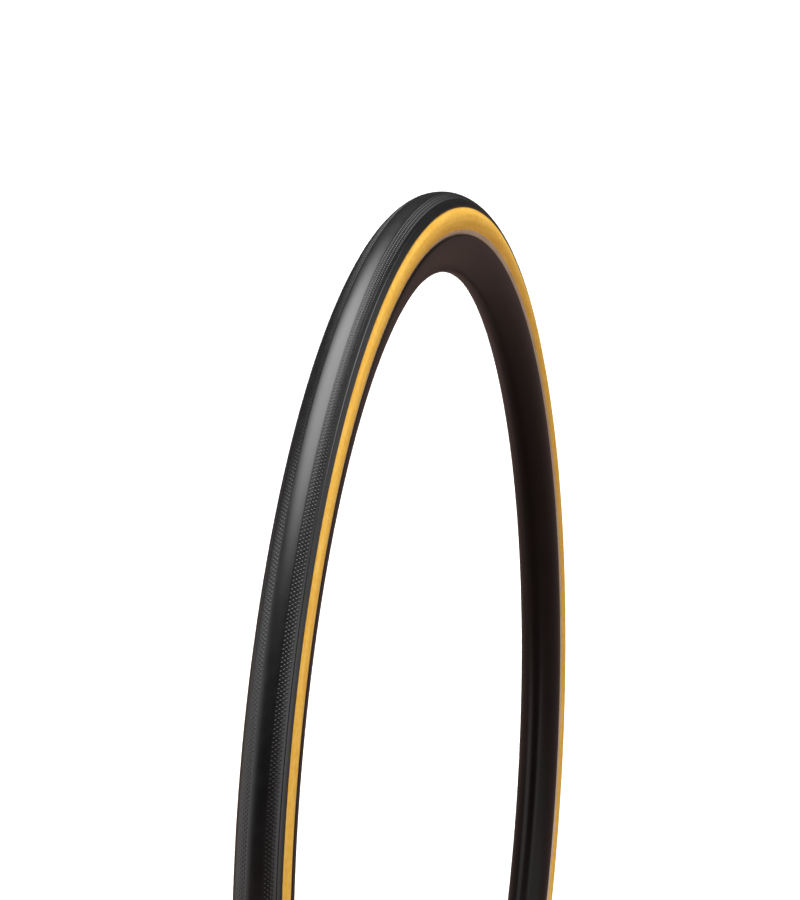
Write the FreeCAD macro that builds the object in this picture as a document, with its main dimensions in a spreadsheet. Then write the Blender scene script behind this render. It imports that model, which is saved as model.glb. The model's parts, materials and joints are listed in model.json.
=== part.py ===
"""A 28-622 road tire, seated on a shallow undrilled rim and held round by an inner tube with a Presta valve.

The axle line is Y and the middle of the wheel is the origin, with Z up.  Every ring is a half section in the
(Y, Z) plane, drawn as width across the tire and distance from the axle.  It is turned a quarter of the way
round about Y, mirrored in the XZ plane where both sides are alike, and repeated to close the ring.
The valve stands at the foot of the ring, pointing at the axle, and its parts are turned about Z.
"""

import FreeCAD, Part
import Sketcher
import math
import os

SIZES = {
    # tire, as mounted and inflated
    "bead_seat_diameter": 622.0,
    "tire_height": 28.0,
    "tire_width": 27.6,
    "crown_thickness": 2.0,
    "casing_crown_radius": 14.0,
    "tread_crown_radius": 13.3,
    "tread_half_width": 11.8,
    "belt_thickness": 0.4,
    "belt_half_width": 8.6,
    "ply_thickness": 0.42,
    "ply_turn_up": 1.1,
    "bond_gap": 0.04,
    "bead_core_diameter": 2.4,
    "chafer_thickness": 0.35,
    "chafer_reach": 2.5,
    "chafer_turn_up": 0.6,
    # rim
    "rim_width": 24.7,
    "rim_depth": 21.5,
    "rim_side_radius": 24.0,
    "straight_wall": 0.9,
    "flange_height": 4.8,
    "flange_bulb_radius": 1.1,
    "flange_wall": 1.7,
    "shell_wall": 1.5,
    "well_half_width": 6.4,
    "well_slope": 1.2,
    "well_depth": 2.0,
    "bed_thickness": 1.4,
    "valve_hole_diameter": 6.6,
    "tape_thickness": 0.4,
    "tape_edge_gap": 0.2,
    "seat_gap": 0.06,
    # inner tube
    "tube_wall": 0.9,
    "tube_gap": 0.1,
    "tube_corner_radius": 1.2,
    "patch_diameter": 9.0,
    "patch_thickness": 0.8,
    # Presta valve
    "stem_diameter": 6.0,
    "stem_bore": 4.0,
    "stem_reach": 27.0,
    "tip_diameter": 5.2,
    "tip_length": 9.0,
    "chuck_grip_length": 12.0,
    "relief_width": 0.8,
    "relief_depth": 0.3,
    "stem_foot_diameter": 8.0,
    "stem_foot_thickness": 1.0,
    "thread_gap": 0.05,
    "end_chamfer": 0.3,
    "rim_nut_diameter": 11.0,
    "rim_nut_height": 4.0,
    "core_head_diameter": 4.6,
    "core_head_height": 4.2,
    "core_plug_length": 7.0,
    "core_nose_diameter": 2.9,
    "core_nose_length": 1.1,
    "core_bore": 2.2,
    "gasket_height": 1.0,
    "pin_diameter": 1.6,
    "pin_stand_out": 7.5,
    "pin_head_diameter": 2.0,
    "pin_head_height": 0.7,
    "pin_foot_diameter": 2.6,
    "pin_foot_height": 0.8,
    "pin_seal_diameter": 3.2,
    "pin_seal_height": 1.2,
    "lock_nut_diameter": 4.4,
    "lock_nut_height": 2.6,
    "cap_grip": 6.0,
    "cap_wall": 0.9,
    "cap_clearance": 0.18,
    "cap_head_room": 1.6,
}

SHEET = "Sizes"
UP = FreeCAD.Vector(0, 0, 1)
ORIGIN = FreeCAD.Vector(0, 0, 0)


class Size:
    """A length that keeps its number and the spreadsheet expression that gives it."""

    def __init__(self, value, text):
        self.value = float(value)
        self.text = text

    @staticmethod
    def of(other):
        return other if isinstance(other, Size) else Size(other, repr(float(other)))

    def combine(self, other, sign, value):
        return Size(value, "(" + self.text + sign + other.text + ")")

    def __add__(self, other):
        other = Size.of(other)
        return self.combine(other, " + ", self.value + other.value)

    def __sub__(self, other):
        other = Size.of(other)
        return self.combine(other, " - ", self.value - other.value)

    def __mul__(self, other):
        other = Size.of(other)
        return self.combine(other, " * ", self.value * other.value)

    def __truediv__(self, other):
        other = Size.of(other)
        return self.combine(other, " / ", self.value / other.value)

    def __neg__(self):
        return Size(-self.value, "(-" + self.text + ")")


def make_sheet(doc):
    sheet = doc.addObject("Spreadsheet::Sheet", SHEET)
    for row, (name, value) in enumerate(SIZES.items(), start=1):
        sheet.set(f"A{row}", name)
        sheet.set(f"B{row}", str(value))
        sheet.setAlias(f"B{row}", name)
    return sheet


def size(name):
    return Size(SIZES[name], SHEET + "." + name)


# ---------------------------------------------------------------- lines that several pieces share

ZERO = Size(0.0, "0")


class Lines:
    """Places that more than one piece is built from, each worked out from the sheet once."""

    seat = size("bead_seat_diameter") / 2
    crown = seat + size("tire_height")
    casing_crown = crown - size("crown_thickness")
    half_width = size("tire_width") / 2
    crown_centre = casing_crown - size("casing_crown_radius")
    # the round top of the rim's flange, which the tire bends over
    bulb_across = size("rim_width") / 2 - size("flange_bulb_radius")
    flange_top = seat + size("flange_height")
    bulb_height = flange_top - size("flange_bulb_radius")
    # the outer ply's outer face bends round the bulb, outside the chafer
    hook_radius = size("flange_bulb_radius") + size("seat_gap") + size("chafer_thickness") + size("bond_gap")
    leg_across = bulb_across - hook_radius
    # bead core, inside the turned-up outer ply and the chafer
    core_radius = size("bead_core_diameter") / 2
    wrap_inside = core_radius + size("bond_gap")
    wrap_outside = wrap_inside + size("ply_thickness")
    chafer_inside = wrap_outside + size("bond_gap")
    chafer_outside = chafer_inside + size("chafer_thickness")
    core_across = leg_across - wrap_outside
    core_height = seat + size("seat_gap") + chafer_outside
    inner_ply_offset = size("ply_thickness") + size("bond_gap")
    tube_offset = inner_ply_offset + size("ply_thickness") + size("tube_gap")
    # rim
    nose = flange_top - size("rim_depth")
    straight_end = bulb_height - size("straight_wall")
    well_floor = seat - size("well_depth")
    floor_half_width = size("well_half_width") - size("well_slope")
    tape_floor = well_floor + size("seat_gap")
    tube_floor = tape_floor + size("tape_thickness") + size("tube_gap")
    # valve, as distances from the axle
    patch_face = tube_floor + size("tube_wall") + size("bond_gap")
    stem_foot = patch_face + size("patch_thickness") + size("bond_gap") + size("stem_foot_thickness")
    stem_radius = size("stem_diameter") / 2
    bore_radius = size("stem_bore") / 2
    # valve, as heights above the stem's foot
    rim_nose_height = stem_foot - nose
    stem_top = rim_nose_height + size("stem_reach")
    tip_radius = size("tip_diameter") / 2
    tip_foot = stem_top - size("tip_length")
    grip_top = tip_foot - size("end_chamfer")
    grip_foot = grip_top - size("chuck_grip_length")
    head_foot = stem_top + size("bond_gap")
    head_top = head_foot + size("core_head_height")
    plug_foot = stem_top - size("core_plug_length")
    core_foot = plug_foot - size("core_nose_length")
    pin_top = head_top + size("pin_stand_out")
    seal_top = core_foot - size("bond_gap")
    cap_foot = stem_top - size("cap_grip")


# ---------------------------------------------------------------- drawing in a sketch

START, END, CENTRE = 1, 2, 3
QUARTERS = 4


class Section:
    """A sketch made of lines and arcs end to end, each size bound to the sheet."""

    def __init__(self, body, name, plane):
        self.sketch = body.newObject("Sketcher::SketchObject", name)
        self.sketch.AttachmentSupport = [(origin_part(body, plane), "")]
        self.sketch.MapMode = "FlatFace"
        self.names = 0

    def line(self, start, end):
        return self.sketch.addGeometry(Part.LineSegment(vector(start), vector(end)), False)

    def arc(self, centre, radius, start, end):
        """The arc about centre from start to end, anticlockwise."""
        circle = Part.Circle(vector(centre), UP, radius)
        angles = [math.atan2(p[1] - centre[1], p[0] - centre[0]) for p in (start, end)]
        if angles[1] <= angles[0]:
            angles[1] += 2 * math.pi
        return self.sketch.addGeometry(Part.ArcOfCircle(circle, angles[0], angles[1]), False)

    def circle(self, centre, radius, steers=False):
        """A whole circle.  One that steers is a construction line for its neighbours."""
        return self.sketch.addGeometry(Part.Circle(vector(centre), UP, radius), steers)

    def bridge(self, first, first_end, second, second_end):
        """A straight side from one free end to another."""
        points = [self.sketch.getPoint(first, first_end), self.sketch.getPoint(second, second_end)]
        side = self.line(*[(point.x, point.y) for point in points])
        self.join(side, START, first, first_end)
        self.join(side, END, second, second_end)
        return side

    def rule(self, *constraint):
        return self.sketch.addConstraint(Sketcher.Constraint(*constraint))

    def join(self, first, first_end, second, second_end):
        self.rule("Coincident", first, first_end, second, second_end)

    def smooth(self, first, first_end, second, second_end):
        self.rule("Tangent", first, first_end, second, second_end)

    def bind(self, length, *constraint):
        self.names += 1
        name = f"Size{self.names}"
        number = self.rule(*constraint, length.value)
        self.sketch.renameConstraint(number, name)
        self.sketch.setExpression("Constraints." + name, length.text)

    def across(self, shape, end, length):
        """Distance of a point from the sketch's upright axis."""
        if abs(length.value) < 1e-9:
            self.rule("PointOnObject", shape, end, -2)
        else:
            self.bind(length, "DistanceX", -1, 1, shape, end)

    def up(self, shape, end, length):
        """Distance of a point from the sketch's level axis."""
        self.bind(length, "DistanceY", -1, 1, shape, end)

    def radius(self, shape, length):
        self.bind(length, "Radius", shape)

    def polygon(self, points):
        """A closed outline of straight sides through points of two Sizes each."""
        count = len(points)
        values = [(x.value, y.value) for x, y in points]
        sides = [self.line(values[i], values[(i + 1) % count]) for i in range(count)]
        for i, (x, y) in enumerate(points):
            self.join(sides[i - 1], END, sides[i], START)
            self.across(sides[i], START, x)
            self.up(sides[i], START, y)
        return sides


def vector(point):
    return FreeCAD.Vector(point[0], point[1], 0)


def origin_part(body, role):
    """One of the planes or axes of a body's own origin."""
    return next(f for f in body.Origin.OriginFeatures if f.Role == role)


def new_body(doc, label):
    name = "".join(word.capitalize() for word in label.split("_"))
    body = doc.addObject("PartDesign::Body", name)
    body.Label = label
    return body


def turn(body, section, axis, angle=360.0):
    """The section turned about an axis of its sketch, as far each way."""
    turned = body.newObject("PartDesign::Revolution", "Turned")
    turned.Profile = section.sketch
    turned.ReferenceAxis = (section.sketch, [axis])
    turned.Midplane = True
    turned.Angle = angle
    return turned


def ring(body, section, both_sides):
    """A section turned a quarter of the way round the axle, and repeated to close the ring.

    A section of one half only is mirrored to the other side as well.
    """
    quarter = turn(body, section, "H_Axis", 360.0 / QUARTERS)
    whole = body.newObject("PartDesign::MultiTransform", "WholeRing")
    whole.Originals = [quarter]
    steps = []
    if both_sides:
        mirrored = body.newObject("PartDesign::Mirrored", "OtherSide")
        mirrored.MirrorPlane = (origin_part(body, "XZ_Plane"), [""])
        steps.append(mirrored)
    repeated = body.newObject("PartDesign::PolarPattern", "RoundTheAxle")
    repeated.Axis = (origin_part(body, "Y_Axis"), [""])
    repeated.Angle = 360.0
    repeated.Occurrences = QUARTERS
    whole.Transformations = steps + [repeated]
    body.Tip = whole


def ring_section(body, name):
    """A section across the tire: sketch x is width, sketch y is distance from the axle."""
    return Section(body, name, "YZ_Plane")


# ---------------------------------------------------------------- the curve of the casing


class CasingCurve:
    """One face of a layer: a crown arc, a side arc and a small arc bending back round a bead or the flange.

    offset is how far the face lies inside the outer ply's outer face.  The side arc touches both of the
    others and reaches the tire's half width less the offset, which fixes its centre and radius.
    """

    def __init__(self, offset):
        self.crown_radius = size("casing_crown_radius") - offset
        self.reach = Lines.half_width - offset
        self.bend_radius = Lines.hook_radius + offset
        self.crown = (0.0, Lines.crown_centre.value)
        self.bend = (Lines.bulb_across.value, Lines.bulb_height.value)
        self.side, self.side_radius = self.side_arc()
        self.top = (0.0, self.crown[1] + self.crown_radius.value)
        self.shoulder = towards(self.crown, self.side, self.crown_radius.value)
        self.foot = towards(self.bend, self.side, self.bend_radius.value)
        self.leg = (self.bend[0] - self.bend_radius.value, self.bend[1])

    def side_arc(self):
        reach = self.reach.value
        inner = self.crown_radius.value - reach
        outer = reach + self.bend_radius.value
        share = (outer - self.bend[0]) / inner
        total = outer**2 - self.bend[0] ** 2 + share * inner**2
        a = 1 + share
        b = self.bend[1] + share * self.crown[1]
        c = self.bend[1] ** 2 + share * self.crown[1] ** 2 - total
        height = (b + math.sqrt(b**2 - a * c)) / a
        across = ((height - self.crown[1]) ** 2 - inner**2) / (2 * inner)
        return (across, height), reach - across

    def side_at_height(self, height):
        run = math.sqrt(self.side_radius**2 - (height - self.side[1]) ** 2)
        return (self.side[0] + run, height)

    def side_bottom_at_width(self, across):
        drop = math.sqrt(self.side_radius**2 - (across - self.side[0]) ** 2)
        return (across, self.side[1] - drop)

    def bind_crown(self, section, arc):
        section.across(arc, CENTRE, ZERO)
        section.up(arc, CENTRE, Lines.crown_centre)
        section.radius(arc, self.crown_radius)

    def bind_bend(self, section, arc):
        section.across(arc, CENTRE, Lines.bulb_across)
        section.up(arc, CENTRE, Lines.bulb_height)
        section.radius(arc, self.bend_radius)

    def bind_reach(self, section, arc):
        """The side arc's widest point stands at the layer's half width."""
        widest = section.sketch.addGeometry(Part.Point(vector((self.reach.value, self.side[1]))), True)
        section.rule("PointOnObject", widest, START, arc)
        section.rule("Horizontal", widest, START, arc, CENTRE)
        section.across(widest, START, self.reach)

    def draw_crown_and_side(self, section, foot):
        """The crown arc from the middle, and the side arc from the foot up to meet it."""
        crown = section.arc(self.crown, self.crown_radius.value, self.shoulder, self.top)
        side = section.arc(self.side, self.side_radius, foot, self.shoulder)
        section.smooth(crown, START, side, END)
        section.rule("PointOnObject", crown, END, -2)
        self.bind_crown(section, crown)
        self.bind_reach(section, side)
        return crown, side

    def draw_bend(self, section, side):
        """The bend over the flange, from the foot of the side arc to the top of the leg."""
        bend = section.arc(self.bend, self.bend_radius.value, self.foot, self.leg)
        section.smooth(side, START, bend, START)
        self.bind_bend(section, bend)
        return bend

    def draw_bead_wrap(self, section, bend, wrap, tail_top):
        """Down the leg, round under the bead core, and up on its inner side to the tail's tip."""
        core = (Lines.core_across.value, Lines.core_height.value)
        right, left = (core[0] + wrap.value, core[1]), (core[0] - wrap.value, core[1])
        leg = section.line(self.leg, right)
        under = section.arc(core, wrap.value, left, right)
        tail = section.line(left, (left[0], tail_top.value))
        section.smooth(bend, END, leg, START)
        section.smooth(leg, END, under, END)
        section.smooth(under, START, tail, START)
        section.across(under, CENTRE, Lines.core_across)
        section.up(under, CENTRE, Lines.core_height)
        section.radius(under, wrap)
        section.rule("Vertical", tail)
        section.up(tail, END, tail_top)
        return tail


def towards(start, end, distance):
    """The point at a distance from start along the line through end."""
    run, rise = end[0] - start[0], end[1] - start[1]
    length = math.hypot(run, rise)
    return (start[0] + distance * run / length, start[1] + distance * rise / length)


# ---------------------------------------------------------------- tire


def outer_ply(doc):
    """The tan ply: over the crown, down the sidewall, round the bead core and up its inner side."""
    body = new_body(doc, "casing_outer_ply")
    section = ring_section(body, "OuterPlySection")
    tail_top = Lines.core_height + size("ply_turn_up")
    faces = []
    for offset, wrap in ((ZERO, Lines.wrap_outside), (size("ply_thickness"), Lines.wrap_inside)):
        curve = CasingCurve(offset)
        crown, side = curve.draw_crown_and_side(section, curve.foot)
        bend = curve.draw_bend(section, side)
        tail = curve.draw_bead_wrap(section, bend, wrap, tail_top)
        faces.append((crown, tail))
    (outer_crown, outer_tail), (inner_crown, inner_tail) = faces
    section.bridge(outer_crown, END, inner_crown, END)
    section.bridge(outer_tail, END, inner_tail, END)
    ring(body, section, both_sides=True)
    return body


def inner_ply(doc):
    """The ply inside it, bead to bead, stopping just above the cores."""
    body = new_body(doc, "casing_inner_ply")
    section = ring_section(body, "InnerPlySection")
    stop = Lines.core_height + Lines.core_radius + size("bond_gap") * 2
    faces = []
    for offset in (Lines.inner_ply_offset, Lines.inner_ply_offset + size("ply_thickness")):
        curve = CasingCurve(offset)
        crown, side = curve.draw_crown_and_side(section, curve.foot)
        bend = curve.draw_bend(section, side)
        leg = section.line(curve.leg, (curve.leg[0], stop.value))
        section.smooth(bend, END, leg, START)
        section.rule("Vertical", leg)
        section.up(leg, END, stop)
        faces.append((crown, leg))
    (outer_crown, outer_leg), (inner_crown, inner_leg) = faces
    section.bridge(outer_crown, END, inner_crown, END)
    section.bridge(outer_leg, END, inner_leg, END)
    ring(body, section, both_sides=True)
    return body


def chafer(doc, label, turned):
    """The rubbed strip between one bead and the rim, from the low sidewall round the bead."""
    body = new_body(doc, label)
    section = ring_section(body, "ChaferSection")
    reach_height = Lines.flange_top + size("chafer_reach")
    tail_top = Lines.core_height + size("chafer_turn_up")
    near = -size("bond_gap")
    far = near - size("chafer_thickness")
    faces = []
    for offset, wrap in ((near, Lines.chafer_inside), (far, Lines.chafer_outside)):
        curve = CasingCurve(offset)
        top = curve.side_at_height(reach_height.value)
        side = section.arc(curve.side, curve.side_radius, curve.foot, top)
        crown = section.circle(curve.crown, curve.crown_radius.value, steers=True)
        section.rule("Tangent", side, crown)
        curve.bind_crown(section, crown)
        curve.bind_reach(section, side)
        section.up(side, END, reach_height)
        bend = curve.draw_bend(section, side)
        tail = curve.draw_bead_wrap(section, bend, wrap, tail_top)
        faces.append((side, tail))
    (near_side, near_tail), (far_side, far_tail) = faces
    section.bridge(near_side, END, far_side, END)
    section.bridge(near_tail, END, far_tail, END)
    ring(body, section, both_sides=False)
    put_on_side(body, turned)
    return body


def bead_core(doc, label, turned):
    """The hoop that one bead is wrapped round."""
    body = new_body(doc, label)
    section = ring_section(body, "CoreSection")
    core = (Lines.core_across.value, Lines.core_height.value)
    circle = section.circle(core, Lines.core_radius.value)
    section.across(circle, CENTRE, Lines.core_across)
    section.up(circle, CENTRE, Lines.core_height)
    section.radius(circle, Lines.core_radius)
    ring(body, section, both_sides=False)
    put_on_side(body, turned)
    return body


def put_on_side(body, turned):
    """Left is +Y.  The right-hand piece is the same one turned half round Z."""
    body.Placement = FreeCAD.Placement(ORIGIN, FreeCAD.Rotation(UP, 180.0 if turned else 0.0))


def breaker_belt(doc):
    """The puncture belt, laid on the outer ply under the tread."""
    body = new_body(doc, "breaker_belt")
    section = ring_section(body, "BeltSection")
    bottom = size("casing_crown_radius") + size("bond_gap")
    centre = (0.0, Lines.crown_centre.value)
    half = size("belt_half_width")
    arcs = []
    for radius in (bottom, bottom + size("belt_thickness")):
        edge = (half.value, centre[1] + math.sqrt(radius.value**2 - half.value**2))
        arc = section.arc(centre, radius.value, edge, (0.0, centre[1] + radius.value))
        section.across(arc, CENTRE, ZERO)
        section.up(arc, CENTRE, Lines.crown_centre)
        section.radius(arc, radius)
        section.across(arc, START, half)
        section.rule("PointOnObject", arc, END, -2)
        arcs.append(arc)
    section.bridge(arcs[0], END, arcs[1], END)
    section.bridge(arcs[0], START, arcs[1], START)
    ring(body, section, both_sides=True)
    return body


def tread(doc):
    """The black rubber cap: thick over the belt, and thin at edges that stand just proud of the casing."""
    body = new_body(doc, "tread")
    section = ring_section(body, "TreadSection")
    seat = CasingCurve(-size("bond_gap"))
    centre = seat.crown
    over_belt = size("casing_crown_radius") + size("bond_gap") * 2 + size("belt_thickness")
    step = size("belt_half_width") + size("bond_gap") * 2
    step_high = (step.value, centre[1] + math.sqrt(over_belt.value**2 - step.value**2))
    step_low = (step.value, centre[1] + math.sqrt(seat.crown_radius.value**2 - step.value**2))
    belt = section.arc(centre, over_belt.value, step_high, (0.0, centre[1] + over_belt.value))
    section.across(belt, CENTRE, ZERO)
    section.up(belt, CENTRE, Lines.crown_centre)
    section.radius(belt, over_belt)
    section.across(belt, START, step)
    section.rule("PointOnObject", belt, END, -2)

    # outside the belt it lies on the casing's crown, as far as its edge
    half = size("tread_half_width")
    foot = (half.value, centre[1] + math.sqrt(seat.crown_radius.value**2 - half.value**2))
    crown = section.arc(centre, seat.crown_radius.value, foot, step_low)
    seat.bind_crown(section, crown)
    section.across(crown, START, half)
    drop = section.bridge(belt, START, crown, END)
    section.rule("Vertical", drop)

    cap_radius = size("tread_crown_radius")
    cap_centre = (0.0, Lines.crown.value - cap_radius.value)
    edge = ray_meets_circle(centre, foot, cap_centre, cap_radius.value)
    cap = section.arc(cap_centre, cap_radius.value, edge, (0.0, Lines.crown.value))
    section.across(cap, CENTRE, ZERO)
    section.radius(cap, cap_radius)
    section.rule("PointOnObject", cap, END, -2)
    section.up(cap, END, Lines.crown)
    lip = section.bridge(crown, START, cap, START)
    section.rule("PointOnObject", crown, CENTRE, lip)
    section.bridge(belt, END, cap, END)
    ring(body, section, both_sides=True)
    return body


def ray_meets_circle(start, through, centre, radius):
    """Where the ray from start through a point leaves a circle that start is inside."""
    length = math.dist(start, through)
    run, rise = (through[0] - start[0]) / length, (through[1] - start[1]) / length
    across, up = start[0] - centre[0], start[1] - centre[1]
    along = across * run + up * rise
    reach = -along + math.sqrt(along**2 - (across**2 + up**2 - radius**2))
    return (start[0] + reach * run, start[1] + reach * rise)


# ---------------------------------------------------------------- inner tube


def inner_tube(doc):
    """Round inside the casing, with a neck that drops between the beads to the rim tape."""
    body = new_body(doc, "inner_tube")
    section = ring_section(body, "TubeSection")
    neck_outside = Lines.core_across - Lines.chafer_outside - size("tube_gap")
    faces = []
    for inset in (ZERO, size("tube_wall")):
        curve = CasingCurve(Lines.tube_offset + inset)
        neck = neck_outside - inset
        floor = Lines.tube_floor + inset
        corner_radius = size("tube_corner_radius") - inset
        throat = curve.side_bottom_at_width(neck.value)
        corner = (neck.value - corner_radius.value, floor.value + corner_radius.value)
        crown, side = curve.draw_crown_and_side(section, throat)
        bend = section.circle(curve.bend, curve.bend_radius.value, steers=True)
        section.rule("Tangent", side, bend)
        curve.bind_bend(section, bend)
        section.across(side, START, neck)
        wall = section.line(throat, (neck.value, corner[1]))
        turn_in = section.arc(corner, corner_radius.value, (corner[0], floor.value), (neck.value, corner[1]))
        bottom = section.line((corner[0], floor.value), (0.0, floor.value))
        section.join(side, START, wall, START)
        section.rule("Vertical", wall)
        section.smooth(wall, END, turn_in, END)
        section.smooth(turn_in, START, bottom, START)
        section.radius(turn_in, corner_radius)
        section.rule("Horizontal", bottom)
        section.rule("PointOnObject", bottom, END, -2)
        section.up(bottom, END, floor)
        faces.append((crown, bottom))
    (outer_crown, outer_bottom), (inner_crown, inner_bottom) = faces
    section.bridge(outer_crown, END, inner_crown, END)
    section.bridge(outer_bottom, END, inner_bottom, END)
    ring(body, section, both_sides=True)
    cut_valve_hole(doc, body, size("stem_diameter") + size("seat_gap") * 2, Lines.stem_foot)
    return body


def cut_valve_hole(doc, body, diameter, depth):
    """A round hole down -Z from the axle, as deep as the distance given."""
    doc.recompute()
    before = body.Shape.Volume
    section = Section(body, "ValveHole", "XY_Plane")
    circle = section.circle((0.0, 0.0), diameter.value / 2)
    section.join(circle, CENTRE, -1, START)
    section.radius(circle, diameter / 2)
    hole = body.newObject("PartDesign::Pocket", "ValveHolePocket")
    hole.Profile = section.sketch
    hole.Type = "Length"
    hole.Length = depth.value
    hole.setExpression("Length", depth.text)
    hole.Reversed = False
    body.Tip = hole
    doc.recompute()
    if body.Shape.Volume >= before:
        raise ValueError(body.Label + ": the valve hole cut nothing")


# ---------------------------------------------------------------- rim


def rim(doc):
    """Hooked flanges, a bed with a shallow well, and a hollow V below, drilled for the valve only."""
    body = new_body(doc, "rim")
    section = ring_section(body, "RimSection")
    bulb_radius = size("flange_bulb_radius")
    wall_across = size("rim_width") / 2 - size("flange_wall")
    bulb = (Lines.bulb_across.value, Lines.bulb_height.value)
    under = bulb[1] - math.sqrt(bulb_radius.value**2 - (bulb[0] - wall_across.value) ** 2)

    half = Lines.bulb_across + bulb_radius
    bulb_arc = section.arc(bulb, bulb_radius.value, (half.value, bulb[1]), (wall_across.value, under))
    section.across(bulb_arc, CENTRE, Lines.bulb_across)
    section.up(bulb_arc, CENTRE, Lines.bulb_height)
    section.radius(bulb_arc, bulb_radius)
    section.across(bulb_arc, END, wall_across)

    side_radius = size("rim_side_radius")
    side_centre = (half.value - side_radius.value, Lines.straight_end.value)
    nose_radius, nose_centre = rim_nose(side_centre, side_radius.value)
    meet = towards(side_centre, nose_centre, side_radius.value)
    brink = section.line((half.value, bulb[1]), (half.value, Lines.straight_end.value))
    side = section.arc(side_centre, side_radius.value, meet, (half.value, Lines.straight_end.value))
    nose = section.arc(nose_centre, nose_radius, (0.0, Lines.nose.value), meet)
    section.smooth(bulb_arc, START, brink, START)
    section.rule("Vertical", brink)
    section.up(brink, END, Lines.straight_end)
    section.smooth(brink, END, side, END)
    section.radius(side, side_radius)
    section.smooth(side, START, nose, END)
    section.across(nose, CENTRE, ZERO)
    section.rule("PointOnObject", nose, START, -2)
    section.up(nose, START, Lines.nose)

    # the hollow, one wall thickness inside
    shell = size("shell_wall")
    ceiling = Lines.well_floor - size("bed_thickness")
    inner_radius = side_radius.value - shell.value
    inner_meet = towards(side_centre, nose_centre, inner_radius)
    reach = side_centre[0] + math.sqrt(inner_radius**2 - (ceiling.value - side_centre[1]) ** 2)
    inner_side = section.arc(side_centre, inner_radius, inner_meet, (reach, ceiling.value))
    inner_tip = (0.0, Lines.nose.value + shell.value)
    inner_nose = section.arc(nose_centre, nose_radius - shell.value, inner_tip, inner_meet)
    section.join(inner_side, CENTRE, side, CENTRE)
    section.radius(inner_side, side_radius - shell)
    section.join(inner_nose, CENTRE, nose, CENTRE)
    section.smooth(inner_side, START, inner_nose, END)
    section.rule("PointOnObject", inner_nose, START, -2)
    section.up(inner_side, END, ceiling)
    roof = section.line((reach, ceiling.value), (0.0, ceiling.value))
    section.join(inner_side, END, roof, START)
    section.rule("Horizontal", roof)
    section.rule("PointOnObject", roof, END, -2)
    section.bridge(nose, START, inner_nose, START)

    # the bed, from the middle of the well out to the hook
    bed = [
        (ZERO, Lines.well_floor),
        (Lines.floor_half_width, Lines.well_floor),
        (size("well_half_width"), Lines.seat),
        (wall_across, Lines.seat),
    ]
    sides = [section.line((a[0].value, a[1].value), (b[0].value, b[1].value)) for a, b in zip(bed, bed[1:])]
    for side_line, (across, up) in zip(sides, bed):
        section.across(side_line, START, across)
        section.up(side_line, START, up)
    for first, second in zip(sides, sides[1:]):
        section.join(first, END, second, START)
    section.across(sides[-1], END, wall_across)
    section.up(sides[-1], END, Lines.seat)
    section.bridge(sides[-1], END, bulb_arc, END)
    section.bridge(roof, END, sides[0], START)
    ring(body, section, both_sides=True)
    cut_valve_hole(doc, body, size("valve_hole_diameter"), Lines.seat)
    return body


def rim_nose(side_centre, side_radius):
    """The arc that rounds the nose, touching both sides: its radius and its centre."""
    drop = side_centre[1] - Lines.nose.value
    radius = (side_radius**2 - side_centre[0] ** 2 - drop**2) / (2 * (side_radius - drop))
    return radius, (0.0, Lines.nose.value + radius)


def rim_tape(doc):
    """A flat strip on the floor of the well, holed for the valve."""
    body = new_body(doc, "rim_tape")
    section = ring_section(body, "TapeSection")
    half = Lines.floor_half_width - size("tape_edge_gap")
    top = Lines.tape_floor + size("tape_thickness")
    section.polygon([(-half, Lines.tape_floor), (half, Lines.tape_floor), (half, top), (-half, top)])
    ring(body, section, both_sides=False)
    cut_valve_hole(doc, body, size("valve_hole_diameter"), Lines.tube_floor)
    return body


# ---------------------------------------------------------------- valve


def turned_on_valve(doc, label, points):
    """A piece turned about the valve's own axis, from (radius, height above the stem's foot) points."""
    body = new_body(doc, label)
    section = Section(body, "Outline", "XZ_Plane")
    section.polygon(points)
    turn(body, section, "V_Axis")
    body.setExpression("Placement.Base.z", "-" + Lines.stem_foot.text)
    return body


def tube_section(inner, outer, bottom, top):
    """The outline of a plain ring."""
    return [(inner, bottom), (outer, bottom), (outer, top), (inner, top)]


def valve_patch(doc):
    top = Lines.stem_foot - Lines.patch_face
    inner = Lines.stem_radius + size("seat_gap")
    bottom = top - size("patch_thickness")
    return turned_on_valve(doc, "valve_patch", tube_section(inner, size("patch_diameter") / 2, bottom, top))


def valve_stem(doc):
    """Foot, shank through the rim, a relief, the stretch that a pump's chuck grips, and the narrower tip."""
    foot = size("stem_foot_diameter") / 2
    bevel = size("end_chamfer")
    relief = Lines.stem_radius - size("relief_depth")
    relief_foot = Lines.grip_foot - size("relief_width")
    points = [
        (Lines.bore_radius, ZERO),
        (foot, ZERO),
        (foot, size("stem_foot_thickness")),
        (Lines.stem_radius, size("stem_foot_thickness")),
        (Lines.stem_radius, relief_foot),
        (relief, relief_foot),
        (relief, Lines.grip_foot),
        (Lines.stem_radius, Lines.grip_foot),
        (Lines.stem_radius, Lines.grip_top),
        (Lines.stem_radius - bevel, Lines.tip_foot),
        (Lines.tip_radius, Lines.tip_foot),
        (Lines.tip_radius, Lines.stem_top - bevel / 2),
        (Lines.tip_radius - bevel / 2, Lines.stem_top),
        (Lines.bore_radius, Lines.stem_top),
    ]
    return turned_on_valve(doc, "valve_stem", points)


def rim_nut(doc):
    bottom = Lines.rim_nose_height + size("seat_gap")
    top = bottom + size("rim_nut_height")
    inner = Lines.stem_radius + size("thread_gap")
    outer = size("rim_nut_diameter") / 2
    bevel = size("end_chamfer")
    points = [(inner, bottom), (outer - bevel, bottom), (outer, bottom + bevel)]
    points += [(outer, top - bevel), (outer - bevel, top), (inner, top)]
    return turned_on_valve(doc, "rim_nut", points)


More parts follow.
